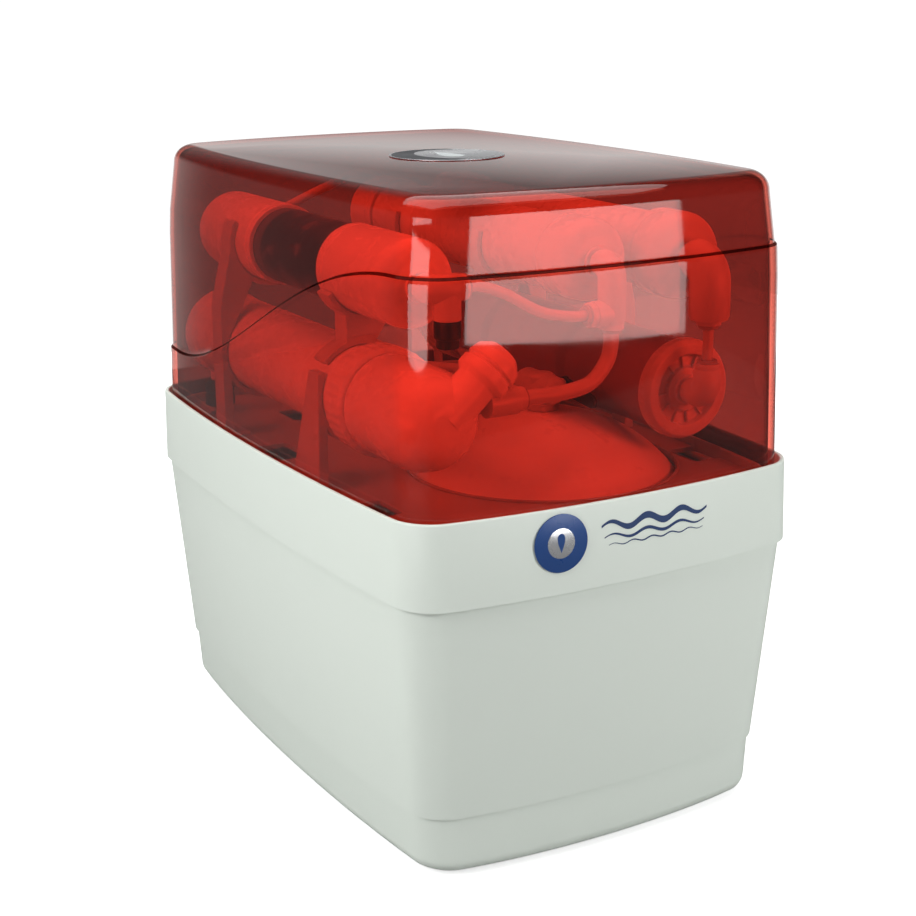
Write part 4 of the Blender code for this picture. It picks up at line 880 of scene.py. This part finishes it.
def build_domed_cap(node, sign):
    """A grooved cap with a domed end, whose port looks to the rear (1) or the front (-1)."""
    _, _, low, high, radius = vessel(node)
    base, face = (low, high) if sign > 0 else (high, low)
    groove = radius - CAP_GROOVE
    steps = ((0.0, radius - 0.003), (0.0, radius), (0.006, radius))
    steps += ((0.0066, groove), (0.0080, groove), (0.0086, radius))
    profile = [(base + sign * along, wide) for along, wide in steps]
    profile.append((face - sign * CAP_STRAIGHT, radius))
    start, end = face - sign * CAP_ROUNDS_AT[sign], face - sign * 0.002
    profile += shoulder(start, end, radius, PORT_RADIUS + 0.003)
    profile += port_rings(face, sign)
    about_own_axis(turned, node + "_shape", node, profile, shell_of(node), 0.0007)


RIB_COUNT = 12
RIB_TURN = 0.13
RIB_CORNERS = ((-1, -1), (1, -1), (1, 1), (-1, 1))


def build_recessed_front_cap(node):
    x, z, low, high, radius = vessel(node)
    profile = [
        (high, radius - 0.003), (high, radius), (low + 0.0034, radius), (low, radius - 0.0024),
        (low, radius - 0.009), (low + 0.005, radius - 0.010), (low + 0.005, PORT_RADIUS + 0.005),
        (low + 0.002, PORT_RADIUS + 0.004), (low + 0.002, PORT_RADIUS), (low, PORT_RADIUS),
        (low, PORT_BORE),
    ]
    about_own_axis(turned, node + "_shape", node, profile, shell_of(node), 0.0009)
    ribs = []
    for k in range(RIB_COUNT):
        angle = 2 * math.pi / RIB_COUNT * k + RIB_TURN
        along = Vector((math.cos(angle), 0, math.sin(angle)))
        side = Vector((-along.z, 0, along.x))
        centre = Vector((x, low + 0.0042, z)) + (PORT_RADIUS + 0.0085) * along
        corners = [centre + a * 0.0036 * along + b * 0.0007 * side for a, b in RIB_CORNERS]
        ribs.append(loft([[spot + Vector((0, y, 0)) for spot in corners] for y in (-0.0012, 0.0011)]))
    add_piece(node + "_ribs", *joined_meshes(ribs), shell_of(node), slot="fitting_white")


def build_filters():
    for name in ("upper_left", "upper_mid", "upper_right", "lower_right"):
        build_body(f"{name}_filter_body")
        build_domed_cap(f"{name}_filter_rear_cap", 1)
    for name in ("upper_left", "upper_mid", "upper_right"):
        build_domed_cap(f"{name}_filter_front_cap", -1)
    build_recessed_front_cap("lower_right_filter_front_cap")
    build_label("upper_left_filter_label", DARK_LABEL)
    build_label("lower_right_filter_label", LABEL)


MEMBRANE_RADIUS = 0.029
MEMBRANE_END_RADIUS = 0.0305
MEMBRANE_CAP_RADIUS = 0.0308
MEMBRANE_CAP_FRONT_Y = -0.170
MEMBRANE_NOSE_LENGTH = 0.030
MEMBRANE_NOSE_RADIUS = 0.0080
INLET_BOSS_Y = -0.158
INLET_BOSS_ANGLE = math.radians(40)
INLET_BOSS_LENGTH = 0.057
OUTLET_NIPPLE = Vector((-0.066, -0.160, 0.277))
OUTLET_MOUTH_X = -0.040
DRAIN_SPOT = (-0.105, 0.150)


def build_membrane_housing():
    low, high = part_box("membrane_housing")
    x, z = membrane_axis()
    nut_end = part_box("membrane_ring_nut")[1].y + PLAY
    swell, neck = 0.142, 0.156
    profile = [
        (low.y + 0.003, MEMBRANE_RADIUS - 0.006), (low.y, MEMBRANE_RADIUS - 0.004),
        (low.y, MEMBRANE_RADIUS - 0.0015), (nut_end, MEMBRANE_RADIUS - 0.0015),
        (nut_end, MEMBRANE_RADIUS), (swell, MEMBRANE_RADIUS), (swell + 0.003, MEMBRANE_END_RADIUS),
        (neck, MEMBRANE_END_RADIUS),
    ]
    profile += shoulder(neck, high.y - 0.002, MEMBRANE_END_RADIUS, PORT_RADIUS + 0.003)
    profile += port_rings(high.y, 1)
    turned(
        "membrane_vessel", (x, 0, z), REARWARDS, profile, HOUSING, 0.0008, replaced=["membrane_housing"],
        slot="fitting_white",
    )
    top = (*DRAIN_SPOT, z - 0.026)
    turned("drain_nipple", top, DOWN, ((0, 0.006), (0.0072, 0.006), (0.0072, 0.004)), HOUSING, 0.0005)


def membrane_axis():
    low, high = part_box("membrane_ring_nut")
    return (low.x + high.x) / 2, (low.z + high.z) / 2


NUT_RIBS = (36, 0.0004)


def build_ring_nut():
    low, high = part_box("membrane_ring_nut")
    x, z = membrane_axis()
    outer = (high.x - low.x) / 2
    inner = MEMBRANE_RADIUS - 0.0010
    section = (
        (low.y, inner), (low.y, outer - 0.0022), (low.y + 0.0022, outer), (high.y - 0.0022, outer),
        (high.y, outer - 0.0022), (high.y, inner),
    )
    kept = {"replaced": ["membrane_ring_nut"], "slot": "fitting_white"}
    sleeve("ring_nut", (x, 0, z), REARWARDS, section, HOUSING, 0.0008, 288, NUT_RIBS, **kept)


def build_membrane_cap():
    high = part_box("membrane_cap")[1]
    x, z = membrane_axis()
    front = MEMBRANE_CAP_FRONT_Y
    nose = front + MEMBRANE_NOSE_LENGTH
    radius = MEMBRANE_CAP_RADIUS
    profile = [(high.y, radius - 0.0018), (high.y, radius), (nose, radius)]
    profile += shoulder(nose, front, radius, MEMBRANE_NOSE_RADIUS, 14)
    profile.append((front, MEMBRANE_NOSE_RADIUS - 0.002))
    turned(
        "membrane_front_cap", (x, 0, z), REARWARDS, profile, HOUSING, 0.0010, replaced=["membrane_cap"],
        slot="fitting_white",
    )
    start = (x, INLET_BOSS_Y, z)
    direction = Vector((math.cos(INLET_BOSS_ANGLE), 0, math.sin(INLET_BOSS_ANGLE)))
    boss = (
        (0.004, 0.0128), (0.033, 0.0128), (0.036, 0.0165), (0.042, 0.0165), (0.0424, 0.0150),
        (0.0445, 0.0150), (0.0449, 0.0165), (0.0515, 0.0150), (INLET_BOSS_LENGTH, 0.0095),
        (INLET_BOSS_LENGTH, 0.0060),
    )
    turned("inlet_boss", start, direction, boss, HOUSING, 0.0011, slot="fitting_white")
    reach = OUTLET_MOUTH_X - OUTLET_NIPPLE.x
    collar = reach - 0.006
    face = reach - 0.0012
    nipple = ((0.0, 0.0085), (collar, 0.0085), (collar, 0.0072), (face, 0.0072), (face, 0.0050))
    turned("outlet_nipple", OUTLET_NIPPLE, RIGHTWARDS, nipple, FITTING, 0.0006, slot="fitting_white")
    mouth = OUTLET_NIPPLE + (reach - 0.0014) * RIGHTWARDS
    collet = ((0.0, 0.0050), (0.0, 0.0066), (0.0014, 0.0066), (0.0014, 0.0050))
    sleeve("outlet_collet", mouth, RIGHTWARDS, collet, COLLET, 0.0003)


# ---- Brackets ----

BRACKET_STRAP = 0.0036
BRACKET_LEFT_X = 0.1295
BRACKET_RIGHT_X = 0.1235
BRACKET_FOOT_X = 0.1115
BRACKET_POST = 0.0068
BRACKET_FOOT = 0.003
SADDLE_PLAY = 0.0004
SLIM_RADIUS = 0.0235
WIDE_RADIUS = 0.0285
UPPER_LEFT_CAP = 0.0265
LABEL_ROOM = 0.0008
SADDLE_REAR_Y = (-0.030, -0.056)
SADDLE_TOP_Z = 0.284


def arc(centre, radius, start, end, steps=18):
    points = []
    for step in range(steps + 1):
        angle = math.radians(start + (end - start) * step / steps)
        points.append((centre[0] + radius * math.cos(angle), centre[1] + radius * math.sin(angle)))
    return points


def bracket_outline(outer_x, lower, lower_radius, upper, upper_radius, middle=None):
    """The bracket's outline for the left side; the right side mirrors it."""
    foot_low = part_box("bracket_left_rear")[0].z
    lower_out = lower_radius + BRACKET_STRAP
    upper_out = upper_radius + BRACKET_STRAP
    post_inner = -outer_x + BRACKET_POST
    meet = math.degrees(math.acos((post_inner - lower[0]) / lower_out))
    outline = [(-outer_x, foot_low), (-BRACKET_FOOT_X, foot_low)]
    outline += [(-BRACKET_FOOT_X, foot_low + BRACKET_FOOT), (post_inner, foot_low + BRACKET_FOOT)]
    outline += arc(lower, lower_out, 360 - meet, 335)
    outline += arc(lower, lower_radius, 335, 150, 32)
    outline += arc(upper, upper_out, 240, 270, 4)
    if middle:
        outline += [(middle[0], upper[1] - upper_out)]
        outline += arc(middle, upper_out, 270, 380, 18)[1:]
        outline += arc(middle, upper_radius, 380, 180, 32)
        outline += arc(upper, upper_radius, 350, 150, 32)
    else:
        outline += arc(upper, upper_out, 270, 335, 10)[1:]
        outline += arc(upper, upper_radius, 335, 150, 32)
    outline += arc(upper, upper_out, 150, 185, 6)
    outline += [(-outer_x, lower[1] + 0.032)]
    return outline


def build_bracket(node, outline, mirror):
    low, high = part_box(node)
    sign = -1 if mirror else 1
    rings = [[Vector((sign * x, y, z)) for x, z in outline] for y in (low.y, high.y)]
    piece = add_piece(node + "_shape", *loft(rings), FITTING, replaced=[node], slot="fitting_white")
    bevelled(piece, 0.0007, 3)


def axis_of(node):
    x, z, _, _, _ = vessel(node)
    return x, z


def mirrored(axis):
    return (-axis[0], axis[1])


def build_brackets():
    membrane = membrane_axis()
    upper_left = axis_of("upper_left_filter_body")
    left = bracket_outline(
        BRACKET_LEFT_X, membrane, MEMBRANE_RADIUS + SADDLE_PLAY, upper_left, UPPER_LEFT_CAP + SADDLE_PLAY,
    )
    right = bracket_outline(
        BRACKET_RIGHT_X, mirrored(axis_of("lower_right_filter_body")),
        WIDE_RADIUS + LABEL_ROOM + SADDLE_PLAY, mirrored(axis_of("upper_right_filter_body")),
        SLIM_RADIUS + SADDLE_PLAY, mirrored(axis_of("upper_mid_filter_body")),
    )
    build_bracket("bracket_left_rear", left, False)
    build_bracket("bracket_right_front", right, True)
    build_bracket("bracket_right_rear", right, True)
    build_front_saddle(membrane)
    build_double_clip(membrane, upper_left)


def build_front_saddle(membrane):
    front_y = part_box("saddle_left_front")[0].y
    foot_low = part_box("saddle_left_front")[0].z
    radius = MEMBRANE_RADIUS + SADDLE_PLAY
    outer = radius + BRACKET_STRAP
    post_inner = -BRACKET_LEFT_X + BRACKET_POST
    meet = math.degrees(math.acos((post_inner - membrane[0]) / outer))
    outline = [(-BRACKET_LEFT_X, foot_low), (post_inner, foot_low)]
    outline += arc(membrane, outer, 360 - meet, 330)
    outline += arc(membrane, radius, 330, 156, 32)
    outline += [(post_inner, SADDLE_TOP_Z), (-BRACKET_LEFT_X + 0.001, SADDLE_TOP_Z)]
    rings = [[Vector((x, front_y, z)) for x, z in outline], []]
    for x, z in outline:
        share = (z - foot_low) / (SADDLE_TOP_Z - foot_low)
        y = SADDLE_REAR_Y[0] + share * (SADDLE_REAR_Y[1] - SADDLE_REAR_Y[0])
        rings[1].append(Vector((x, y, z)))
    piece = add_piece(
        "front_saddle", *loft(rings), FITTING, replaced=["saddle_left_front"], slot="fitting_white"
    )
    bevelled(piece, 0.0009, 3)


def build_double_clip(membrane, upper_left):
    lower = MEMBRANE_RADIUS + SADDLE_PLAY
    upper = UPPER_LEFT_CAP + SADDLE_PLAY
    outline = arc(membrane, lower, 12, 140, 24)
    outline += arc(membrane, lower + BRACKET_STRAP, 140, 108, 8)
    outline += arc(upper_left, upper + BRACKET_STRAP, 238, 204, 10)
    outline += arc(upper_left, upper, 204, 372, 30)
    outline += arc(upper_left, upper + BRACKET_STRAP, 372, 302, 14)
    outline += arc(membrane, lower + BRACKET_STRAP, 72, 12, 14)
    build_bracket("double_clip_left", outline, False)


# ---- Elbows, tees and tubes ----


def port_of(node, sign):
    """The middle of a cap's port face, at its rear (1) or front (-1) end."""
    x, z, low, high, _ = vessel(node)
    return Vector((x, high if sign > 0 else low, z))


def mouth_pieces(name, mouth, outward):
    """The collar and grey collet ring where a tube enters a fitting."""
    inner = TUBE_RADIUS + 0.0002
    collar = ((-0.0056, inner), (-0.0056, 0.0076), (-0.0022, 0.0076), (-0.0022, inner))
    sleeve(name + "_collar", mouth, outward, collar, FITTING, 0.0006)
    ring = ((-0.0021, inner), (-0.0021, 0.0064), (0.0, 0.0060), (0.0, inner))
    sleeve(name + "_collet", mouth, outward, ring, COLLET, 0.0005)


def elbow_mesh(port, ways, leg, radius, reach):
    inward, outward = ways
    middle = port + reach * inward
    bend = radius + 0.0005
    route = [port + 0.0003 * inward, port + 0.0022 * inward, port + 0.0024 * inward]
    radii = [PORT_BORE, PORT_BORE, radius * 0.94]
    for sine, cosine in quarter_turn(12):
        route.append(middle + bend * ((sine - 1) * inward + (1 - cosine) * outward))
        radii.append(radius)
    for distance, ring_radius in (
        (leg - 0.0075, radius), (leg - 0.0068, radius - 0.0005), (leg - 0.0054, radius - 0.0010),
        (leg - 0.0052, 0.0060), (leg - 0.0010, 0.0060),
    ):
        route.append(middle + distance * outward)
        radii.append(ring_radius)
    return swept_mesh(route, radii, 40)


# Where a tube enters each fitting and the way it comes out, noted as the fittings are built.
MOUTHS = {}


def build_elbow(node, port, ways, leg=ELBOW_LEG, radius=ELBOW_RADIUS, reach=ELBOW_REACH):
    points, faces = elbow_mesh(port, ways, leg, radius, reach)
    add_piece(node + "_shape", points, faces, FITTING, replaced=[node], slot="fitting_white")
    MOUTHS[node] = (port + reach * ways[0] + leg * ways[1], ways[1])
    mouth_pieces(node, *MOUTHS[node])


def membrane_rear_port():
    x, z = membrane_axis()
    return Vector((x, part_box("membrane_housing")[1].y, z))


LEFT_BRANCH_OFFSET = 0.009
LEFT_BRANCH_LENGTH = 0.034
MID_BRANCH_DROP = 0.028
MID_BRANCH_LENGTH = 0.019
REAR_ELBOWS = (
    ("upper_mid", DOWN), ("upper_right", LEFTWARDS), ("lower_right", DOWN), ("upper_left", RIGHTWARDS),
)


def build_fittings():
    for where, out in REAR_ELBOWS:
        port = port_of(f"{where}_filter_rear_cap", 1)
        build_elbow(f"elbow_{where}_rear", port, (REARWARDS, out))
    build_elbow("elbow_membrane_rear", membrane_rear_port(), (REARWARDS, RIGHTWARDS))
    port = port_of("upper_right_filter_front_cap", -1)
    wide = (LONG_LEG, WIDE_ELBOW_RADIUS, WIDE_ELBOW_REACH)
    build_elbow("elbow_upper_right_front", port, (FRONTWARDS, DOWN), *wide)
    port = port_of("lower_right_filter_front_cap", -1)
    build_elbow("elbow_lower_right_front", port, (FRONTWARDS, UP), reach=WIDE_ELBOW_REACH)
    build_tees()


def build_tees():
    left = port_of("upper_left_filter_front_cap", -1)
    build_elbow("tee_upper_left_front", left, (FRONTWARDS, RIGHTWARDS))
    start = left + ELBOW_REACH * FRONTWARDS + LEFT_BRANCH_OFFSET * RIGHTWARDS
    upper = ((0.0, 0.0080), (0.018, 0.0080), (0.018, 0.0060))
    turned("left_tee_branch", start, DOWN, upper, FITTING, 0.0008, slot="fitting_white")
    tip = LEFT_BRANCH_LENGTH
    plug = ((0.018, 0.0060), (0.018, 0.0079), (0.028, 0.0079), (0.029, 0.0066))
    plug += ((tip, 0.0066), (tip, 0.0045))
    turned("left_tee_plug", start, DOWN, plug, BLACK, 0.0008, slot="fitting_black")
    mid = port_of("upper_mid_filter_front_cap", -1)
    build_elbow("tee_upper_mid_front", mid, (FRONTWARDS, DOWN), LONG_LEG)
    start = mid + ELBOW_REACH * FRONTWARDS + MID_BRANCH_DROP * DOWN
    collar = MID_BRANCH_LENGTH - 0.0056
    branch = ((0.0, 0.0080), (collar, 0.0080), (collar, 0.0050))
    turned("mid_tee_branch", start, LEFTWARDS, branch, FITTING, 0.0008, slot="fitting_white")
    MOUTHS["mid_tee_side"] = (start + MID_BRANCH_LENGTH * LEFTWARDS, LEFTWARDS)
    mouth_pieces("mid_tee_side", *MOUTHS["mid_tee_side"])


TUBE_LEAD = 0.006
TUBE_SINK = 0.0008


def build_tube(node, start, knots, end, radius=TUBE_RADIUS):
    """A bent tube whose straight ends enter their fittings a little way."""
    leads = [point + TUBE_LEAD * out for point, out in (start, end)]
    bend = smooth_route((start[0], leads[0], *knots, leads[1], end[0]), 12)
    route = [start[0] - TUBE_SINK * start[1], start[0], *bend, end[0], end[0] - TUBE_SINK * end[1]]
    points, faces = swept_mesh(route, [radius] * len(route), TUBE_SIDES)
    add_piece(node + "_shape", points, faces, TUBE, replaced=[node], slot="tube_white")


def rear_port_end(node):
    x, z, front, _, _ = vessel(node)
    return Vector((x, front, z)), FRONTWARDS


def build_front_tubes():
    ends = [MOUTHS[f"elbow_{where}_right_front"][0] for where in ("upper", "lower")]
    points, faces = swept_mesh(ends, (TUBE_RADIUS, TUBE_RADIUS), TUBE_SIDES)
    add_piece("link_tube", points, faces, TUBE, replaced=["tube_right_link"], slot="tube_white")
    knots = ((0.0220, -0.1530, 0.2900), (0.0080, -0.1560, 0.2790), (-0.0140, -0.1590, 0.2765))
    outlet = (Vector((OUTLET_MOUTH_X, OUTLET_NIPPLE.y, OUTLET_NIPPLE.z)), RIGHTWARDS)
    build_tube("tube_membrane_loop", MOUTHS["tee_upper_mid_front"], knots, outlet, WIDE_TUBE_RADIUS)
    knots = ((-0.0440, -0.1440, 0.3360), (-0.0200, -0.1470, 0.3230))
    build_tube("tube_front_cross", MOUTHS["tee_upper_left_front"], knots, MOUTHS["mid_tee_side"])


VALVE_HEIGHT = 0.2605


def valve_rear_mouth():
    x, _ = tank_axis()
    return Vector((x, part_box("tank_valve_body")[1].y, VALVE_HEIGHT))


def build_rear_tubes():
    start = MOUTHS["elbow_upper_right_rear"]
    y = start[0].y
    knots = ((0.0420, y, 0.3600), (0.0240, y, 0.3720), (-0.0100, y, 0.3620))
    build_tube("tube_rear_cross", start, knots, MOUTHS["elbow_upper_left_rear"])
    knots = (
        (-0.0450, 0.1680, 0.2640), (-0.0260, 0.1350, 0.2580), (-0.0080, 0.0700, 0.2520),
        (0.0120, 0.0000, 0.2570),
    )
    end = (valve_rear_mouth(), REARWARDS)
    build_tube("tube_permeate", MOUTHS["elbow_membrane_rear"], knots, end)


TUBE_DECK_Z = 0.209


def build_service_tubes():
    product, feed_spot, _ = ((*spot, TUBE_DECK_Z) for spot in DECK_TUBE_HOLES)
    knots = ((0.0260, 0.1690, 0.2700), product, (0.0140, 0.1600, 0.1200))
    build_tube("tube_product", MOUTHS["elbow_upper_mid_rear"], knots, rear_port_end("port_product"))
    knots = (feed_spot, (0.0720, 0.1600, 0.1250))
    build_tube("tube_feed", MOUTHS["elbow_lower_right_rear"], knots, rear_port_end("port_feed"))
    restrictor_end = Vector((*DRAIN_SPOT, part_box("flow_restrictor")[0].z))
    knots = ((*DRAIN_SPOT, 0.1980), (-0.0840, 0.1560, 0.1250))
    build_tube("tube_drain", (restrictor_end, DOWN), knots, rear_port_end("port_drain"))


def build_restrictor():
    top = Vector((*DRAIN_SPOT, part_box("flow_restrictor")[1].z))
    profile = (
        (0.0, 0.0050), (0.0, 0.0075), (0.002, 0.0105), (0.008, 0.0105), (0.0085, 0.0098),
        (0.0105, 0.0098), (0.011, 0.0105), (0.018, 0.0105), (0.020, 0.0058),
    )
    kept = {"replaced": ["flow_restrictor"], "slot": "fitting_black"}
    turned("restrictor", top, DOWN, profile, BLACK, 0.0007, **kept)


def build_ports():
    for name in ("drain", "product", "feed"):
        node = f"port_{name}"
        x, z, low, high, _ = vessel(node)
        half_x, half_y = cabinet_half(z)
        wall = half_y - BOW_Y * (x / half_x) ** 2 + 0.0006
        profile = (
            (low, 0.0040), (low, 0.0058), (wall, 0.0058), (wall, 0.0095), (wall + 0.0028, 0.0095),
            (wall + 0.0032, 0.0074), (high - 0.0016, 0.0070), (high - 0.0016, 0.0036),
        )
        about_own_axis(turned, node + "_shape", node, profile, FITTING, 0.0006)
        ring = ((-0.0018, 0.0036), (-0.0018, 0.0062), (0.0, 0.0058), (0.0, 0.0036))
        sleeve(node + "_collet", (x, high, z), REARWARDS, ring, COLLET, 0.0004)


# ---- The tank and its valve ----


TANK_SIDES = 144


def build_tank():
    x, y, low, high, flange = upright("tank_upper_shell")
    radius = flange - 0.003
    shoulder_z = 0.150
    wall = 0.0022
    upper = [(low, radius - wall), (low, flange), (low + 0.003, flange), (low + 0.005, radius)]
    upper.append((shoulder_z, radius))
    outer = []
    for step in range(1, 25):
        angle = math.radians(80 * step / 24)
        outer.append((shoulder_z + (high - shoulder_z) * math.sin(angle), radius * math.cos(angle)))
    top = [(high - 0.0006, 0.0165), (high, 0.0125), (high, 0.0062), (high - 0.006, 0.0062)]
    inner = [(z - wall, r * (radius - wall) / radius) for z, r in reversed(outer[::3])]
    section = [*upper, *outer, *top, *inner]
    kept = {"replaced": ["tank_upper_shell"], "slot": "fitting_white"}
    sleeve("tank_dome", (x, y, 0), UP, section, TANK, 0.0008, TANK_SIDES, **kept)
    build_tank_bottom(x, y, radius, flange)


def build_tank_bottom(x, y, radius, flange):
    low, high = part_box("tank_lower_shell")
    section = [
        (high.z, radius - 0.0022), (0.068, radius - 0.0022), (0.036, 0.0900), (low.z + 0.0042, 0.058),
        (low.z + 0.0042, 0.006), (low.z + 0.002, 0.006), (low.z, 0.052), (low.z, 0.062), (0.034, 0.0922),
        (0.068, radius), (high.z - 0.005, radius), (high.z - 0.003, flange), (high.z, flange),
    ]
    rings = turned_rings((x, y, 0), UP, closed(section, 0.012, 6), TANK_SIDES)
    add_piece(
        "tank_bowl", *loft(rings, capped=False), TANK, replaced=["tank_lower_shell"], slot="fitting_white"
    )


def build_valve():
    x, y = tank_axis()
    low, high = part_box("tank_valve_body")
    rise = high.z - low.z
    stem = (
        (0.0, 0.0070), (0.0, 0.0110), (0.005, 0.0110), (0.0055, 0.0085), (rise - 0.0018, 0.0085),
        (rise, 0.0060),
    )
    turned(
        "valve_stem", (x, y, low.z), UP, stem, FITTING, 0.0007, replaced=["tank_valve_body"],
        slot="fitting_white",
    )
    barrel = (
        (low.y, 0.0050), (low.y, 0.0075), (low.y + 0.0015, 0.0090), (high.y - 0.0054, 0.0090),
        (high.y - 0.0054, 0.0060),
    )
    turned("valve_barrel", (x, 0, VALVE_HEIGHT), REARWARDS, barrel, FITTING, 0.0008, slot="fitting_white")
    mouth_pieces("valve_mouth", valve_rear_mouth(), REARWARDS)
    pivot = lever_pivot()
    boss_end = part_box("tank_valve_lever")[0].x - x - PLAY
    boss = ((0.0, 0.0052), (boss_end, 0.0052), (boss_end, 0.0030))
    turned("lever_boss", (x, pivot.y, pivot.z), RIGHTWARDS, boss, FITTING, 0.0006, slot="fitting_white")


def lever_pivot():
    joint = next(j for j in frame["joints"] if j["name"] == "valve_turn")
    return Vector(joint["pos_m"])


def build_lever():
    low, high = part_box("tank_valve_lever")
    pivot = lever_pivot()
    outline = arc((0.0, 0.0), 0.0062, 60, 300, 24)
    outline += arc((0.030, 0.0), 0.0042, 270, 450, 18)
    rings = []
    for x in (low.x, high.x):
        ring = []
        for forward, rise in outline:
            droop = -0.14 * max(forward, 0.0)
            ring.append(Vector((x, pivot.y - forward, pivot.z + rise + droop)))
        rings.append(ring)
    lever = add_piece(
        "valve_lever_shape", *loft(rings), BLACK, "valve_lever", ["tank_valve_lever"], "fitting_black"
    )
    bevelled(lever, 0.0006, 3)


# ---- Stage, light and camera ----


# The floor's paper: what the camera sees, what lights the case and what mirrors in its gloss.
FLOOR_SEEN = (0.96, 0.96, 0.96)
FLOOR_BOUNCE = (0.48, 0.48, 0.48)
FLOOR_MIRRORED = (0.14, 0.14, 0.14)
FLOOR_GLOW = 0.60
FLOOR_HALF = 1.3
FLOOR_Z = -0.0002


def floor_material():
    """White paper that throws only part of its light back onto the case."""
    made = plastic("floor_paper", (0.93, 0.93, 0.93), 0.75, 0.05, 200.0, 0.05, 0.005)
    tree = made.node_tree
    shader = tree.nodes["Principled BSDF"]
    path = add_node(tree, "LightPath", {}).outputs
    bounced = mixed_colour(tree, path["Is Glossy Ray"], FLOOR_BOUNCE, FLOOR_MIRRORED)
    seen = mixed_colour(tree, path["Is Camera Ray"], bounced, FLOOR_SEEN)
    feed(tree, shader.inputs["Base Color"], seen)
    feed(tree, shader.inputs["Emission Color"], (1.0, 1.0, 1.0))
    glow = maths(tree, "MULTIPLY", path["Is Camera Ray"], FLOOR_GLOW)
    feed(tree, shader.inputs["Emission Strength"], glow)
    return made


def build_floor():
    corners = ((-1, -1), (1, -1), (1, 1), (-1, 1))
    mesh = bpy.data.meshes.new("floor")
    mesh.from_pydata([(x * FLOOR_HALF, y * FLOOR_HALF, FLOOR_Z) for x, y in corners], [], [(0, 1, 2, 3)])
    mesh.materials.append(floor_material())
    new_object("floor", mesh)


# The studio's white backdrop stands behind the case; the room in front of it is dimmer.
BACKDROP_DIRECTION = (0.4933, 0.8699, 0.0)
BACKDROP_EDGE = (0.67, 0.92)
BACKDROP_STRENGTH = 1.05
ROOM_STRENGTH = 0.12
BACKDROP_TOP = (0.03, 0.17)
CEILING_SHARE = 0.15


def build_world():
    world = bpy.data.worlds.new("studio")
    world.use_nodes = True
    tree = world.node_tree
    way = add_node(tree, "TexCoord", {}).outputs["Generated"]
    dot = add_node(tree, "VectorMath", {0: way, 1: BACKDROP_DIRECTION}, operation="DOT_PRODUCT")
    strengths = (ROOM_STRENGTH, BACKDROP_STRENGTH)
    smooth = {"interpolation_type": "SMOOTHSTEP"}
    around = spread(tree, dot.outputs["Value"], *strengths, *BACKDROP_EDGE, **smooth)
    up = add_node(tree, "SeparateXYZ", {"Vector": way}).outputs["Z"]
    height = spread(tree, up, 1.0, CEILING_SHARE, *BACKDROP_TOP)
    path = add_node(tree, "LightPath", {}).outputs
    seen = maths(tree, "MULTIPLY", path["Is Camera Ray"], BACKDROP_STRENGTH)
    strength = maths(tree, "MAXIMUM", maths(tree, "MULTIPLY", around, height), seen)
    background = tree.nodes["Background"]
    feed(tree, background.inputs["Color"], (1.0, 1.0, 1.0))
    feed(tree, background.inputs["Strength"], strength)
    bpy.context.scene.world = world


# Each light: name, place, what it faces, size, power and the kind of ray that doesn't meet it.
LIGHTS = (
    ("card_front", (0.345, -0.92, 0.315), (-0.01, -0.2, 0.33), (0.57, 0.29), 2.2, "diffuse"),
    ("card_near", (-1.27, -0.61, 0.30), (-0.12, -0.2, 0.30), (0.90, 0.42), 4.8, "diffuse"),
    ("key_left", (-1.5, -0.15, 1.0), (0.0, 0.0, 0.2), (0.9, 0.8), 19.0, "glossy"),
    ("fill_right", (1.0, -1.45, 0.8), (0.0, -0.1, 0.10), (0.9, 0.8), 17.0, "glossy"),
    ("fill_rear", (0.55, 1.65, 0.75), (0.0, 0.1, 0.12), (1.1, 0.9), 11.0, "glossy"),
    ("overhead", (0.0, 0.25, 1.7), (0.0, 0.2, 0.2), (2.2, 2.2), 28.0, None),
)


def build_lights():
    """Soft lights around the case, and two cards that only mirror in its gloss."""
    for name, spot, target, size, power, missed_by in LIGHTS:
        light = bpy.data.lights.new(name, "AREA")
        light.shape = "RECTANGLE"
        light.size, light.size_y = size
        light.energy = power
        obj = new_object(name, light)
        obj.location = spot
        obj.rotation_euler = (Vector(target) - Vector(spot)).to_track_quat("-Z", "Y").to_euler()
        obj.visible_diffuse = missed_by != "diffuse"
        obj.visible_glossy = missed_by != "glossy"


CAMERA_SPOT = (-0.5387, -0.9615, 0.5087)
CAMERA_RIGHT = Vector((0.8688, -0.4951, -0.0073))
CAMERA_UP = Vector((0.1411, 0.2334, 0.9621))
CAMERA_LENS = 66.2
CAMERA_SENSOR = 36.0


def build_camera():
    data = bpy.data.cameras.new("camera")
    data.lens = CAMERA_LENS
    data.sensor_width = CAMERA_SENSOR
    camera = new_object("camera", data)
    back = CAMERA_RIGHT.cross(CAMERA_UP)
    turn = Matrix((CAMERA_RIGHT, CAMERA_UP, back)).transposed().to_4x4()
    camera.matrix_world = Matrix.Translation(CAMERA_SPOT) @ turn
    bpy.context.scene.camera = camera


def repaint_hidden_nodes():
    """The CAD nodes that stay as they are take their materials here."""
    for node, material in (("tank_diaphragm", DIAPHRAGM), ("membrane_element", WRAP)):
        frame["nodes"][node].material_slots[0].material = material


build_base_pan()
build_cabinet()
build_band()
build_hood()
build_deck()
build_feet()
build_front_badge()
build_front_waves()
build_top_badge()
build_filters()
build_membrane_housing()
build_ring_nut()
build_membrane_cap()
build_brackets()
build_fittings()
build_front_tubes()
build_rear_tubes()
build_service_tubes()
build_restrictor()
build_ports()
build_tank()
build_valve()
build_lever()
repaint_hidden_nodes()
build_floor()
build_world()
build_lights()
bpy.context.scene.view_settings.view_transform = "Standard"
build_camera()
